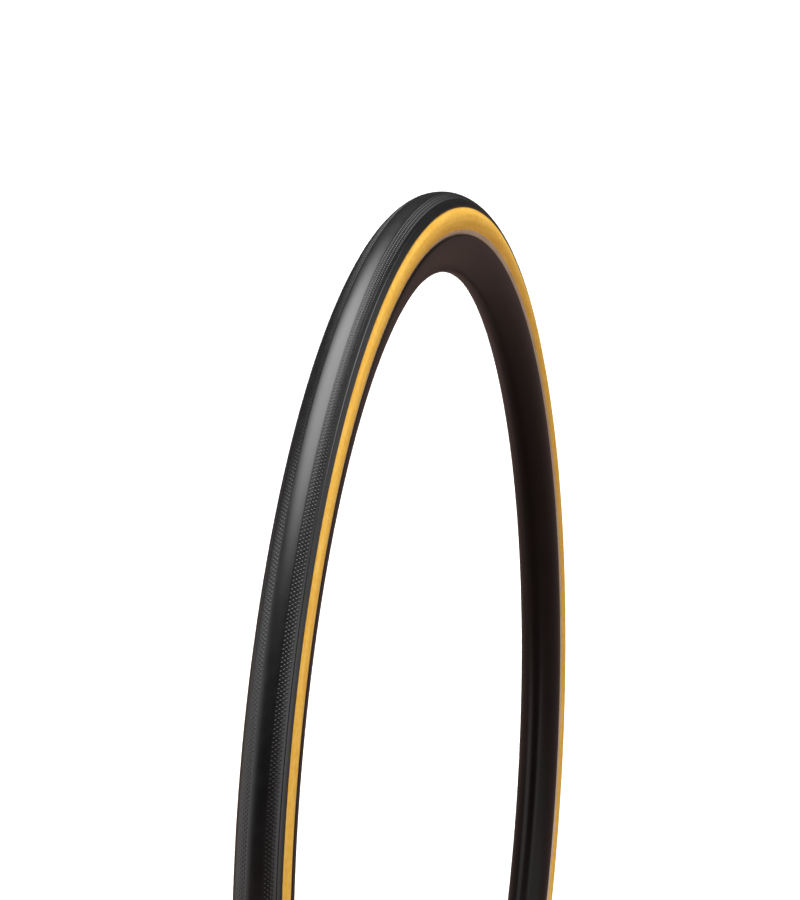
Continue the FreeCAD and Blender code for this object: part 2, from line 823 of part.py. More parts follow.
def valve_core(doc):
    """Nose, threaded plug inside the stem, and the head with the wrench flats above it."""
    bore = size("core_bore") / 2
    nose = size("core_nose_diameter") / 2
    plug = Lines.bore_radius - size("thread_gap")
    head = size("core_head_diameter") / 2
    bevel = size("end_chamfer")
    points = [
        (bore, Lines.core_foot),
        (nose, Lines.core_foot),
        (nose, Lines.plug_foot),
        (plug, Lines.plug_foot),
        (plug, Lines.head_foot),
        (head, Lines.head_foot),
        (head, Lines.head_top - bevel),
        (head - bevel, Lines.head_top),
        (bore, Lines.head_top),
    ]
    return turned_on_valve(doc, "valve_core", points)


def core_gasket(doc):
    top = Lines.plug_foot - size("bond_gap")
    inner = size("core_nose_diameter") / 2 + size("bond_gap")
    outer = Lines.bore_radius - size("thread_gap")
    return turned_on_valve(doc, "core_gasket", tube_section(inner, outer, top - size("gasket_height"), top))


def valve_pin(doc):
    """The foot below the seal, the long pin, and the small head that stops the lock nut coming off."""
    pin = size("pin_diameter") / 2
    foot = size("pin_foot_diameter") / 2
    head = size("pin_head_diameter") / 2
    foot_top = Lines.seal_top - size("pin_seal_height") - size("bond_gap")
    foot_bottom = foot_top - size("pin_foot_height")
    head_bottom = Lines.pin_top - size("pin_head_height")
    points = [
        (ZERO, foot_bottom),
        (foot, foot_bottom),
        (foot, foot_top),
        (pin, foot_top),
        (pin, head_bottom),
        (head, head_bottom),
        (head, Lines.pin_top),
        (ZERO, Lines.pin_top),
    ]
    return turned_on_valve(doc, "valve_pin", points)


def pin_seal(doc):
    inner = size("pin_diameter") / 2 + size("bond_gap")
    outer = size("pin_seal_diameter") / 2
    bottom = Lines.seal_top - size("pin_seal_height")
    return turned_on_valve(doc, "pin_seal", tube_section(inner, outer, bottom, Lines.seal_top))


def lock_nut(doc):
    bottom = Lines.head_top + size("seat_gap")
    inner = size("pin_diameter") / 2 + size("thread_gap")
    top = bottom + size("lock_nut_height")
    return turned_on_valve(doc, "lock_nut", tube_section(inner, size("lock_nut_diameter") / 2, bottom, top))


def valve_cap(doc):
    """Grips the stem's tip, steps in over the core, and closes above the pin."""
    grip = Lines.tip_radius + size("thread_gap")
    wall = size("cap_wall")
    room = size("core_head_diameter") / 2 + size("cap_clearance")
    step = Lines.stem_top + size("cap_clearance")
    ceiling = Lines.pin_top + size("cap_head_room")
    points = [
        (grip, Lines.cap_foot),
        (grip + wall, Lines.cap_foot),
        (grip + wall, step),
        (room + wall, ceiling),
        (room, ceiling + wall),
        (ZERO, ceiling + wall),
        (ZERO, ceiling),
        (room, ceiling),
        (room, step),
        (grip, step),
    ]
    return turned_on_valve(doc, "valve_cap", points)


# ---------------------------------------------------------------- build, check and write

SIDES = (("left", False), ("right", True))


def make_all(doc):
    bodies = [outer_ply(doc), inner_ply(doc), breaker_belt(doc), tread(doc)]
    for side, turned in SIDES:
        bodies.append(bead_core(doc, "bead_core_" + side, turned))
        bodies.append(chafer(doc, "chafer_" + side, turned))
    bodies += [inner_tube(doc), rim_tape(doc), rim(doc)]
    for make in (valve_patch, valve_stem, rim_nut, valve_core, core_gasket, valve_pin, pin_seal, lock_nut):
        bodies.append(make(doc))
    bodies.append(valve_cap(doc))
    return bodies


def check(doc, bodies):
    for item in doc.Objects:
        if "Invalid" in item.State or "Error" in item.State:
            raise ValueError(f"{item.Label}: {item.State}")
        if item.isDerivedFrom("Sketcher::SketchObject") and item.solve() != 0:
            raise ValueError(f"{item.Label} of {item.getParentGeoFeatureGroup().Label} can't be solved")
    for body in bodies:
        shape = body.Shape
        if shape.isNull() or not shape.isValid() or len(shape.Solids) != 1:
            raise ValueError(f"{body.Label}: not one sound solid")


def main():
    doc = FreeCAD.newDocument("tire")
    make_sheet(doc)
    doc.recompute()
    bodies = make_all(doc)
    doc.recompute()
    check(doc, bodies)
    os.makedirs("parts", exist_ok=True)
    for body in bodies:
        body.Shape.exportStep(f"parts/{body.Label}.step")
        print(f"{body.Label:20s} {body.Shape.Volume:12.1f} mm3")


main()
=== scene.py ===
import json
import math

import bmesh
import bpy
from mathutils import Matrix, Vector


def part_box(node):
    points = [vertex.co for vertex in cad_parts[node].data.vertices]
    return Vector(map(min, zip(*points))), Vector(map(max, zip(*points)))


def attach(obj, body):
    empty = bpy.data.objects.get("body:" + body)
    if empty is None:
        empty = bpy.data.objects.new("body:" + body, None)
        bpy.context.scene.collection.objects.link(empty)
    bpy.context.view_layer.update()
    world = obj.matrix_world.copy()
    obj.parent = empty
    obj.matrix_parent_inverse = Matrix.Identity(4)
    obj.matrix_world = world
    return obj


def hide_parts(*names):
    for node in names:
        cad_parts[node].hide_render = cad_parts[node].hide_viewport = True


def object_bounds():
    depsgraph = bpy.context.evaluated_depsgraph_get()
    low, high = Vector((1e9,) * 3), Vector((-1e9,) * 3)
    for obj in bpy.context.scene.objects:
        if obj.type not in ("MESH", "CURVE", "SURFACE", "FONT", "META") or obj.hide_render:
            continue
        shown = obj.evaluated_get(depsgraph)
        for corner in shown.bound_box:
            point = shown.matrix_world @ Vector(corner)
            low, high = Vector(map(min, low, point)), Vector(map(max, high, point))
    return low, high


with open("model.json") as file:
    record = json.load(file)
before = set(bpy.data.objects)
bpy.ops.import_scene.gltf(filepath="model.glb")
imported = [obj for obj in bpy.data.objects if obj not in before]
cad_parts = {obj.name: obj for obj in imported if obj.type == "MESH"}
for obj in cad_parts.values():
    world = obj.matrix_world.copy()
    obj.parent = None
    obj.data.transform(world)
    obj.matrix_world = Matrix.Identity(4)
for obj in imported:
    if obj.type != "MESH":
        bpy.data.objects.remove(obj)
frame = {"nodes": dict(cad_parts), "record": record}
cadLow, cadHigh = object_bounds()
mm = 0.001
tau = 2 * math.pi
print("frame loaded:", len(frame["nodes"]), "nodes")


def ringSpan(node):
    # how near the axle a ring comes, how far out it reaches and its half width, in mm
    points = [v.co / mm for v in frame["nodes"][node].data.vertices]
    reaches = [math.hypot(p.x, p.z) for p in points]
    return min(reaches), max(reaches), max(abs(p.y) for p in points)


def valveSpan(node):
    # a valve piece's lowest and highest point above the stem's foot, and its largest radius, in mm
    low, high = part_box(node)
    return low.z / mm - stemFoot, high.z / mm - stemFoot, high.x / mm


crownReach = ringSpan("tread")[1]
casingHalfWidth = ringSpan("casing_outer_ply")[2]
rimNose, flangeTop, rimHalfWidth = ringSpan("rim")
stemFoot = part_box("valve_stem")[0].z / mm


def hexColour(code):
    # sRGB hex to the linear values that shaders take
    parts = [int(code[i:i + 2], 16) / 255 for i in (1, 3, 5)]
    linear = [p / 12.92 if p <= 0.04045 else ((p + 0.055) / 1.055) ** 2.4 for p in parts]
    return (*linear, 1.0)


def addNode(tree, kind, inputs=None, stops=(), **settings):
    # one node: its settings, its inputs set or linked, and the stops of a colour ramp
    node = tree.nodes.new(kind)
    for name, value in settings.items():
        setattr(node, name, value)
    for key, value in (inputs or {}).items():
        if isinstance(value, bpy.types.Node):
            value = value.outputs[0]
        if isinstance(value, bpy.types.NodeSocket):
            tree.links.new(value, node.inputs[key])
        else:
            node.inputs[key].default_value = value
    for i, (place, code) in enumerate(stops):
        elements = node.color_ramp.elements
        element = elements[i] if i < len(elements) else elements.new(place)
        element.position = place
        element.color = hexColour(code)
    return node


def newMaterial(name, settings):
    # a principled material with its plain sockets set, and the tree to add detail to
    material = bpy.data.materials.new(name)
    material.use_nodes = True
    shader = material.node_tree.nodes["Principled BSDF"]
    for socket, value in settings.items():
        shader.inputs[socket].default_value = hexColour(value) if isinstance(value, str) else value
    return material, material.node_tree, shader


def bandScale(pitch):
    # the scale at which a wave texture's bands are one pitch, in mm, apart
    return tau / 20 / (pitch * mm)


def grainScale(size):
    # the scale at which a noise texture's grains are about one size, in mm, across
    return 1 / (size * mm)


def alongAndAcross(tree):
    # metres along the ring from the valve, and metres across it, for a node without a UV map
    place = addNode(tree, "ShaderNodeTexCoord").outputs["Object"]
    parts = addNode(tree, "ShaderNodeSeparateXYZ", {0: place})
    turn = addNode(tree, "ShaderNodeMath", {0: parts.outputs["X"], 1: parts.outputs["Z"]},
                   operation="ARCTAN2")
    along = addNode(tree, "ShaderNodeMath", {0: turn, 1: crownReach * mm}, operation="MULTIPLY")
    return addNode(tree, "ShaderNodeCombineXYZ", {"X": along, "Y": parts.outputs["Y"]})


treadRubberLook = {
    "shader": {"Metallic": 0.0, "IOR": 1.5, "Specular IOR Level": 0.5},
    "colours": [(0.35, "#0b0a0b"), (0.7, "#121112")], "mottle": 7.0,
    "roughness": (0.3, 0.37), "grain": 0.35, "grainDepth": 0.008,
}


def treadRubber():
    # carbon-black tread compound out of a polished mould: near black, with a broad soft sheen
    look = treadRubberLook
    material, tree, shader = newMaterial("mouldedTreadRubber", look["shader"])
    place = addNode(tree, "ShaderNodeTexCoord").outputs["Object"]
    mottle = addNode(tree, "ShaderNodeTexNoise", {
        "Vector": place, "Scale": grainScale(look["mottle"]), "Detail": 4.0,
    })
    colour = addNode(tree, "ShaderNodeValToRGB", {"Fac": mottle}, look["colours"])
    low, high = look["roughness"]
    rough = addNode(tree, "ShaderNodeMapRange", {"Value": mottle, "To Min": low, "To Max": high})
    grain = addNode(tree, "ShaderNodeTexNoise", {
        "Vector": place, "Scale": grainScale(look["grain"]), "Detail": 2.0,
    })
    bump = addNode(tree, "ShaderNodeBump", {
        "Height": grain, "Distance": look["grainDepth"] * mm, "Strength": 0.6,
    })
    tree.links.new(colour.outputs["Color"], shader.inputs["Base Color"])
    tree.links.new(rough.outputs[0], shader.inputs["Roughness"])
    tree.links.new(bump.outputs[0], shader.inputs["Normal"])
    return material


# how all the cord cloths are drawn: how much the cords waver, how long the streaks are, and the shades used
cloth = {"waver": 1.5, "streakStretch": 0.06, "shades": (0.7, 1.4), "cordRelief": 0.6}


def cottonUnderLatex(name, look, place=None):
    # parallel cords at a bias in a thin coat of latex or rubber: softly mottled and faintly ribbed
    # the real cords are about 0.1 mm apart, too fine to show, so they are drawn coarser
    material, tree, shader = newMaterial(name, look["shader"])
    if place:
        place = addNode(tree, "ShaderNodeUVMap", uv_map=place)
    else:
        place = alongAndAcross(tree)
    lean = (0, 0, math.radians(look["bias"]))
    biased = addNode(tree, "ShaderNodeMapping", {"Vector": place, "Rotation": lean})
    cords = addNode(tree, "ShaderNodeTexWave", {
        "Vector": biased, "Scale": bandScale(look["cordPitch"]), "Distortion": cloth["waver"], "Detail": 2.0,
        "Detail Scale": 0.6,
    }, wave_type="BANDS", bands_direction="X")
    mottle = addNode(tree, "ShaderNodeTexNoise", {
        "Vector": place, "Scale": grainScale(look["mottle"]), "Detail": 5.0, "Roughness": 0.6,
    })
    stretched = addNode(tree, "ShaderNodeMapping", {
        "Vector": place, "Scale": (cloth["streakStretch"], 1.0, 1.0),
    })
    streaks = addNode(tree, "ShaderNodeTexNoise", {"Vector": stretched, "Scale": grainScale(look["streak"])})
    both = addNode(tree, "ShaderNodeMath", {0: mottle, 1: streaks}, operation="ADD")
    shade = addNode(tree, "ShaderNodeMath", {0: cords, 1: look["cordShade"], 2: both},
                    operation="MULTIPLY_ADD")
    low, high = cloth["shades"]
    spread = addNode(tree, "ShaderNodeMapRange", {"Value": shade, "From Min": low, "From Max": high})
    colour = addNode(tree, "ShaderNodeValToRGB", {"Fac": spread}, look["colours"])
    relief = addNode(tree, "ShaderNodeMath", {0: cords, 1: cloth["cordRelief"], 2: mottle},
                     operation="MULTIPLY_ADD")
    bump = addNode(tree, "ShaderNodeBump", {
        "Height": relief, "Distance": look["relief"] * mm, "Strength": 0.5,
    })
    tree.links.new(colour.outputs["Color"], shader.inputs["Base Color"])
    tree.links.new(bump.outputs[0], shader.inputs["Normal"])
    return material


tanCottonLook = {
    "shader": {"Metallic": 0.0, "IOR": 1.5, "Roughness": 0.6, "Specular IOR Level": 0.15},
    "bias": 45.0, "cordPitch": 0.5, "mottle": 3.5, "streak": 2.0, "cordShade": 0.12, "relief": 0.03,
    "colours": [(0.15, "#f0b647"), (0.5, "#fac251"), (0.85, "#ffcf62")],
}

innerCottonLook = {
    "shader": {"Metallic": 0.0, "IOR": 1.5, "Roughness": 0.8, "Specular IOR Level": 0.2},
    "bias": -45.0, "cordPitch": 0.4, "mottle": 5.0, "streak": 3.0, "cordShade": 0.3, "relief": 0.08,
    "colours": [(0.15, "#a98a5b"), (0.5, "#c2a472"), (0.85, "#d4bb8c")],
}

chaferClothLook = {
    "shader": {"Metallic": 0.0, "IOR": 1.5, "Roughness": 0.75, "Specular IOR Level": 0.25},
    "bias": 45.0, "cordPitch": 0.5, "mottle": 2.0, "streak": 1.2, "cordShade": 0.35, "relief": 0.06,
    "colours": [(0.15, "#bfa68e"), (0.5, "#d2b99f"), (0.85, "#e0cab1")],
}

beltClothLook = {
    "shader": {"Metallic": 0.0, "IOR": 1.5, "Roughness": 0.85, "Specular IOR Level": 0.2},
    "bias": 60.0, "cordPitch": 0.7, "mottle": 4.0, "streak": 2.0, "cordShade": 0.5, "relief": 0.1,
    "colours": [(0.15, "#b7a04e"), (0.5, "#cdb868"), (0.85, "#ddcc86")],
}

aramidLook = {
    "shader": {"Metallic": 0.0, "IOR": 1.6, "Roughness": 0.6, "Specular IOR Level": 0.4},
    "bias": 20.0, "cordPitch": 0.35, "mottle": 6.0, "streak": 1.0, "cordShade": 0.6, "relief": 0.08,
    "colours": [(0.15, "#b58f2e"), (0.5, "#cfa93f"), (0.85, "#e0c05c")],
}


sheetFinish = {"roughness": (0.55, 0.85), "grainDepth": 0.02}


def plainRubber(name, look):
    # rubber sheet or moulded plastic: dull, with a fine grain and slow changes of tone
    material, tree, shader = newMaterial(name, look["shader"])
    place = addNode(tree, "ShaderNodeTexCoord").outputs["Object"]
    mottle = addNode(tree, "ShaderNodeTexNoise", {
        "Vector": place, "Scale": grainScale(look["mottle"]), "Detail": 6.0,
    })
    colour = addNode(tree, "ShaderNodeValToRGB", {"Fac": mottle}, look["colours"])
    low, high = sheetFinish["roughness"]
    rough = addNode(tree, "ShaderNodeMapRange", {"Value": mottle, "To Min": low, "To Max": high})
    grain = addNode(tree, "ShaderNodeTexNoise", {"Vector": place, "Scale": grainScale(look["grain"])})
    bump = addNode(tree, "ShaderNodeBump", {
        "Height": grain, "Distance": sheetFinish["grainDepth"] * mm, "Strength": 0.5,
    })
    tree.links.new(colour.outputs["Color"], shader.inputs["Base Color"])
    tree.links.new(rough.outputs[0], shader.inputs["Roughness"])
    tree.links.new(bump.outputs[0], shader.inputs["Normal"])
    return material


butylLook = {
    "shader": {"IOR": 1.5, "Specular IOR Level": 0.35}, "mottle": 12.0, "grain": 0.4,
    "colours": [(0.3, "#1d1d1f"), (0.6, "#2a2a2c"), (0.8, "#4a4a4c")],
}
sealRubberLook = {
    "shader": {"IOR": 1.5, "Specular IOR Level": 0.35}, "mottle": 1.5, "grain": 0.15,
    "colours": [(0.3, "#151516"), (0.7, "#242426")],
}
rimTapeLook = {
    "shader": {"IOR": 1.5, "Specular IOR Level": 0.5}, "mottle": 8.0, "grain": 0.3,
    "colours": [(0.3, "#1f3f7a"), (0.7, "#2c5499")],
}
capPlasticLook = {
    "shader": {"IOR": 1.5, "Specular IOR Level": 0.5}, "mottle": 2.0, "grain": 0.12,
    "colours": [(0.3, "#1a1a1b"), (0.7, "#232325")],
}

anodisedRimLook = {
    "shader": {"Metallic": 0.15, "IOR": 1.5, "Specular IOR Level": 0.25},
    "colours": [(0.3, "#0c0707"), (0.55, "#110b0a"), (0.8, "#160e0d")],
    "mottle": 25.0, "lineWidth": 0.5, "lineStretch": 0.004, "lineDepth": 0.003, "roughness": (0.3, 0.38),
}


def anodisedRim():
    # extruded aluminium, blasted fine and anodised: a brownish satin black with faint lines round the ring
    # the real drawing lines are about 0.05 mm apart, too fine to show, so they are drawn coarser
    look = anodisedRimLook
    material, tree, shader = newMaterial("satinAnodisedAluminium", look["shader"])
    place = addNode(tree, "ShaderNodeUVMap", uv_map="along")
    mottle = addNode(tree, "ShaderNodeTexNoise", {
        "Vector": place, "Scale": grainScale(look["mottle"]), "Detail": 4.0,
    })
    colour = addNode(tree, "ShaderNodeValToRGB", {"Fac": mottle}, look["colours"])
    drawn = addNode(tree, "ShaderNodeMapping", {"Vector": place, "Scale": (look["lineStretch"], 1.0, 1.0)})
    lines = addNode(tree, "ShaderNodeTexNoise", {
        "Vector": drawn, "Scale": grainScale(look["lineWidth"]), "Detail": 3.0,
    })
    low, high = look["roughness"]
    rough = addNode(tree, "ShaderNodeMapRange", {"Value": lines, "To Min": low, "To Max": high})
    bump = addNode(tree, "ShaderNodeBump", {
        "Height": lines, "Distance": look["lineDepth"] * mm, "Strength": 0.6,
    })
    tree.links.new(colour.outputs["Color"], shader.inputs["Base Color"])
    tree.links.new(rough.outputs[0], shader.inputs["Roughness"])
    tree.links.new(bump.outputs[0], shader.inputs["Normal"])
    return material


nickelLook = {
    "shader": {"Metallic": 1.0},
    "colours": [(0.3, "#b9b2a6"), (0.7, "#d6d0c6")], "roughness": (0.18, 0.34),
}
brassLook = {
    "shader": {"Metallic": 1.0},
    "colours": [(0.3, "#b08a3e"), (0.7, "#cfa956")], "roughness": (0.22, 0.42),
}
turnedFinish = {"patch": 2.5, "toolPitch": 0.12, "toolDepth": 0.002}


def turnedMetal(name, look):
    # bar-turned brass, plated or bare: bright, with faint tool rings and finger-dulled patches
    material, tree, shader = newMaterial(name, look["shader"])
    place = addNode(tree, "ShaderNodeTexCoord").outputs["Object"]
    patches = addNode(tree, "ShaderNodeTexNoise", {
        "Vector": place, "Scale": grainScale(turnedFinish["patch"]), "Detail": 5.0,
    })
    colour = addNode(tree, "ShaderNodeValToRGB", {"Fac": patches}, look["colours"])
    rings = addNode(tree, "ShaderNodeTexWave", {
        "Vector": place, "Scale": bandScale(turnedFinish["toolPitch"]), "Distortion": 0.6,
    }, wave_type="BANDS", bands_direction="Z")
    low, high = look["roughness"]
    rough = addNode(tree, "ShaderNodeMapRange", {"Value": patches, "To Min": low, "To Max": high})
    bump = addNode(tree, "ShaderNodeBump", {
        "Height": rings, "Distance": turnedFinish["toolDepth"] * mm, "Strength": 0.5,
    })
    tree.links.new(colour.outputs["Color"], shader.inputs["Base Color"])
    tree.links.new(rough.outputs[0], shader.inputs["Roughness"])
    tree.links.new(bump.outputs[0], shader.inputs["Normal"])
    return material


materials = {
    "tread_rubber": treadRubber(),
    "tan_cotton": cottonUnderLatex("tanCottonUnderLatex", tanCottonLook, "along"),
    "inner_cotton": cottonUnderLatex("rawCottonPly", innerCottonLook),
    "belt_fabric": cottonUnderLatex("aramidBeltCloth", beltClothLook),
    "bead_aramid": cottonUnderLatex("aramidBeadCord", aramidLook),
    "chafer_fabric": cottonUnderLatex("chaferCloth", chaferClothLook, "along"),
    "butyl": plainRubber("butylTubeRubber", butylLook),
    "seal_rubber": plainRubber("nitrileSealRubber", sealRubberLook),
    "tape_plastic": plainRubber("nylonRimTape", rimTapeLook),
    "cap_plastic": plainRubber("mouldedNylon", capPlasticLook),
    "rim_black": anodisedRim(),
    "plated_brass": turnedMetal("nickelPlatedBrass", nickelLook),
    "bare_brass": turnedMetal("bareTurnedBrass", brassLook),
}
print("materials made:", len(materials))


def arc(centre, radius, start, end, count):
    # points along an arc about a centre, from one angle to the other, in degrees
    turns = [math.radians(start + (end - start) * i / count) for i in range(count + 1)]
    return [(centre[0] + radius * math.cos(a), centre[1] + radius * math.sin(a)) for a in turns]


def bearing(start, end):
    # the direction from one point to another, in degrees
    return math.degrees(math.atan2(end[1] - start[1], end[0] - start[0]))


def bothSides(half):
    # a closed outline from its right half, whose first and last points are in the middle
    return half + [(-w, r) for w, r in reversed(half[1:-1])]


def aboutAxle(angle, across, reach):
    # the ring starts and ends at the valve, at the foot of the wheel
    return (-reach * math.sin(angle) * mm, across * mm, -reach * math.cos(angle) * mm)


def aboutValve(angle, radius, height):
    return (radius * math.cos(angle) * mm, radius * math.sin(angle) * mm, (stemFoot + height) * mm)


# the radius, in metres, at which a valve piece's UV map keeps its scale round the turn
valveMapRadius = 0.003


def turnOutline(bm, outline, steps, toSpace, poleAt=None):
    # turns a closed outline right round, with a UV map in metres along the turn and along the outline
    uvLayer = bm.loops.layers.uv["along"]
    count = len(outline)
    lengths = [0.0]
    for i in range(count):
        lengths.append(lengths[-1] + math.dist(outline[i], outline[(i + 1) % count]))
    onAxis = [poleAt is not None and abs(point[poleAt]) < 1e-6 for point in outline]
    poles = {i: bm.verts.new(toSpace(0.0, *outline[i])) for i in range(count) if onAxis[i]}
    rings = []
    for step in range(steps):
        angle = tau * step / steps
        rings.append([poles.get(i) or bm.verts.new(toSpace(angle, *outline[i])) for i in range(count)])
    reach = valveMapRadius
    if poleAt is None:
        reach = max(Vector(toSpace(0.0, *point)).xz.length for point in outline)
    for step in range(steps):
        here, there = rings[step], rings[(step + 1) % steps]
        for i in range(count):
            j = (i + 1) % count
            corners = [(here[i], step, i), (here[j], step, i + 1)]
            corners += [(there[j], step + 1, i + 1), (there[i], step + 1, i)]
            kept = [c for n, c in enumerate(corners) if c[0] not in [k[0] for k in corners[:n]]]
            if len(kept) < 3:
                continue
            face = bm.faces.new([c[0] for c in kept])
            for loop, (vert, s, k) in zip(face.loops, kept):
                loop[uvLayer].uv = (tau * s / steps * reach, lengths[k] * mm)


def turnedMesh(name, outlines, steps, toSpace, poleAt=None):
    bm = bmesh.new()
    bm.loops.layers.uv.new("along")
    for outline in outlines:
        turnOutline(bm, outline, steps, toSpace, poleAt)
    bmesh.ops.recalc_face_normals(bm, faces=bm.faces)
    mesh = bpy.data.meshes.new(name)
    bm.to_mesh(mesh)
    bm.free()
    piece = bpy.data.objects.new(name, mesh)
    bpy.context.scene.collection.objects.link(piece)
    return piece


def finishPiece(piece, body, slot, replaced=(), sharp=35.0):
    # smooth faces with crisp corners, its material, and the body that carries it
    piece.data.shade_smooth()
    piece.data.set_sharp_from_angle(angle=math.radians(sharp))
    piece.data.materials.clear()
    piece.data.materials.append(materials[slot])
    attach(piece, body)
    if replaced:
        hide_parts(*replaced)
    return piece


def plainMesh(piece):
    # what the piece's modifiers make, as its own mesh
    evaluated = piece.evaluated_get(bpy.context.evaluated_depsgraph_get())
    mesh = bpy.data.meshes.new_from_object(evaluated)
    piece.modifiers.clear()
    piece.data = mesh


def newTree(name, sizes):
    # a Geometry Nodes tree with a named input for each size, and the sockets that carry them
    tree = bpy.data.node_groups.new(name, "GeometryNodeTree")
    tree.interface.new_socket("Geometry", in_out="INPUT", socket_type="NodeSocketGeometry")
    for key, value in sizes.items():
        kind = "NodeSocketInt" if isinstance(value, int) else "NodeSocketFloat"
        tree.interface.new_socket(key, in_out="INPUT", socket_type=kind)
    tree.interface.new_socket("Material", in_out="INPUT", socket_type="NodeSocketMaterial")
    tree.interface.new_socket("Geometry", in_out="OUTPUT", socket_type="NodeSocketGeometry")
    return tree, addNode(tree, "NodeGroupInput").outputs


def closeTree(tree, shape, given):
    real = addNode(tree, "GeometryNodeRealizeInstances", {0: shape})
    coated = addNode(tree, "GeometryNodeSetMaterial", {"Geometry": real, "Material": given["Material"]})
    addNode(tree, "NodeGroupOutput", {0: coated})
    return tree


def runTree(piece, tree, sizes, slot):
    modifier = piece.modifiers.new(tree.name, "NODES")
    modifier.node_group = tree
    values = {**sizes, "Material": materials[slot]}
    for item in tree.interface.items_tree:
        if item.in_out == "INPUT" and item.name in values:
            modifier[item.identifier] = values[item.name]


casing = {
    "treadThickness": 2.0,
    "crownRadius": 14.0,
    "plyThickness": 0.42,
    "bondGap": 0.04,
    "turnUp": 1.1,
    "beadCoreRadius": 1.2,
    "chaferThickness": 0.35,
    "chaferReach": 2.5,
    "chaferTurnUp": 0.6,
    "seatGap": 0.06,
    "steps": 540,
}

rim = {
    "bulbRadius": 1.1,
    "flangeHeight": 4.8,
    "flangeWall": 1.7,
    "straightWall": 0.9,
    "sideRadius": 24.0,
    "shellWall": 1.5,
    "wellHalfWidth": 6.4,
    "wellSlope": 1.2,
    "wellDepth": 2.0,
    "bedThickness": 1.4,
    "valveHoleRadius": 3.3,
    "drillOverrun": 3.0,
    "drillSteps": 48,
    "steps": 720,
}

bead = flangeTop - rim["flangeHeight"]
crownCentre = (0.0, crownReach - casing["treadThickness"] - casing["crownRadius"])
bulbCentre = (rimHalfWidth - rim["bulbRadius"], flangeTop - rim["bulbRadius"])
hookRadius = rim["bulbRadius"] + casing["seatGap"] + casing["chaferThickness"] + casing["bondGap"]
plyWrap = casing["beadCoreRadius"] + casing["bondGap"] + casing["plyThickness"]
chaferWrap = plyWrap + casing["bondGap"] + casing["chaferThickness"]
coreCentre = (bulbCentre[0] - hookRadius - plyWrap, bead + casing["seatGap"] + chaferWrap)


def sideArc(offset):
    # the sidewall's arc: it touches the crown arc and the bend over the flange, and reaches the full width
    reach = casingHalfWidth - offset
    inner = casing["crownRadius"] - offset - reach
    outer = reach + hookRadius + offset
    share = (outer - bulbCentre[0]) / inner
    total = outer**2 - bulbCentre[0]**2 + share * inner**2
    a = 1 + share
    b = bulbCentre[1] + share * crownCentre[1]
    c = bulbCentre[1]**2 + share * crownCentre[1]**2 - total
    height = (b + math.sqrt(b**2 - a * c)) / a
    across = ((height - crownCentre[1])**2 - inner**2) / (2 * inner)
    return (across, height), reach - across


def casingFace(offset, wrap, tailTop, start=None):
    # from the crown's middle, or from a height on the side, over the flange and round under the bead core
    side, sideRadius = sideArc(offset)
    foot = bearing(side, bulbCentre)
    if start is None:
        shoulder = bearing(crownCentre, side)
        points = arc(crownCentre, casing["crownRadius"] - offset, 90, shoulder, 6)[:-1]
        points += arc(side, sideRadius, shoulder, foot, 16)
    else:
        points = arc(side, sideRadius, math.degrees(math.asin((start - side[1]) / sideRadius)), foot, 8)
    points += arc(bulbCentre, hookRadius + offset, foot + 180, 180, 6)[1:]
    points += arc(coreCentre, wrap, 0, -180, 8)
    return points + [(coreCentre[0] - wrap, tailTop)]


def makeCasing():
    # the tan outer ply, all one piece from bead to bead
    tail = coreCentre[1] + casing["turnUp"]
    outer = casingFace(0.0, plyWrap, tail)
    inner = casingFace(casing["plyThickness"], plyWrap - casing["plyThickness"], tail)
    outline = bothSides(outer + inner[::-1])
    piece = turnedMesh("tanCasing", [outline], casing["steps"], aboutAxle)
    return finishPiece(piece, "wheel", "tan_cotton", ["casing_outer_ply"])


def makeChafers():
    # a strip of rubbed cloth round each bead, which shows as a pale line above the rim
    start = flangeTop + casing["chaferReach"]
    tail = coreCentre[1] + casing["chaferTurnUp"]
    near = -casing["bondGap"]
    far = near - casing["chaferThickness"]
    inner = casingFace(near, chaferWrap - casing["chaferThickness"], tail, start)
    outer = casingFace(far, chaferWrap, tail, start)
    outline = outer + inner[::-1]
    for name, node, way in (("chaferLeft", "chafer_left", 1), ("chaferRight", "chafer_right", -1)):
        sided = [(way * w, r) for w, r in outline]
        piece = turnedMesh(name, [sided], casing["steps"], aboutAxle)
        finishPiece(piece, "wheel", "chafer_fabric", [node])


makeCasing()
makeChafers()
print("casing and chafers made")

tread = {
    "capRadius": 13.3,
    "halfWidth": 11.8,
    "bandInner": 4.7,
    "bandOuter": 10.1,
    "bandDepth": 0.17,
    "bandBevel": 0.6,
    "outerBevel": 0.15,
    "edgeDrop": 0.25,
    "lines": (10.5, 10.95, 11.4),
    "lineDepth": 0.035,
    "lineWidth": 0.16,
    "beltHalfWidth": 8.6,
    "beltThickness": 0.4,
    "steps": 720,
}

diamonds = {
    "Rows": 1000,
    "Columns": 4,
    "First Column": 5.2,
    "Column Spacing": 1.42,
    "Length": 1.75,
    "Width": 1.8,
    "Top Share": 0.36,
    "Sink": 0.05,
}


def onCap(across, depth=0.0):
    # a point on the tread's cap, or a depth under it, at a distance from the middle
    angle = math.asin(across / tread["capRadius"])
    radius = tread["capRadius"] - depth
    return (radius * math.sin(angle), crownReach - tread["capRadius"] + radius * math.cos(angle))


def capStretch(start, end, count, depth=0.0):
    return [onCap(start + (end - start) * i / count, depth) for i in range(count + 1)]


def onSeat(across, gap):
    radius = casing["crownRadius"] + gap
    return (across, crownCentre[1] + math.sqrt(radius**2 - across**2))


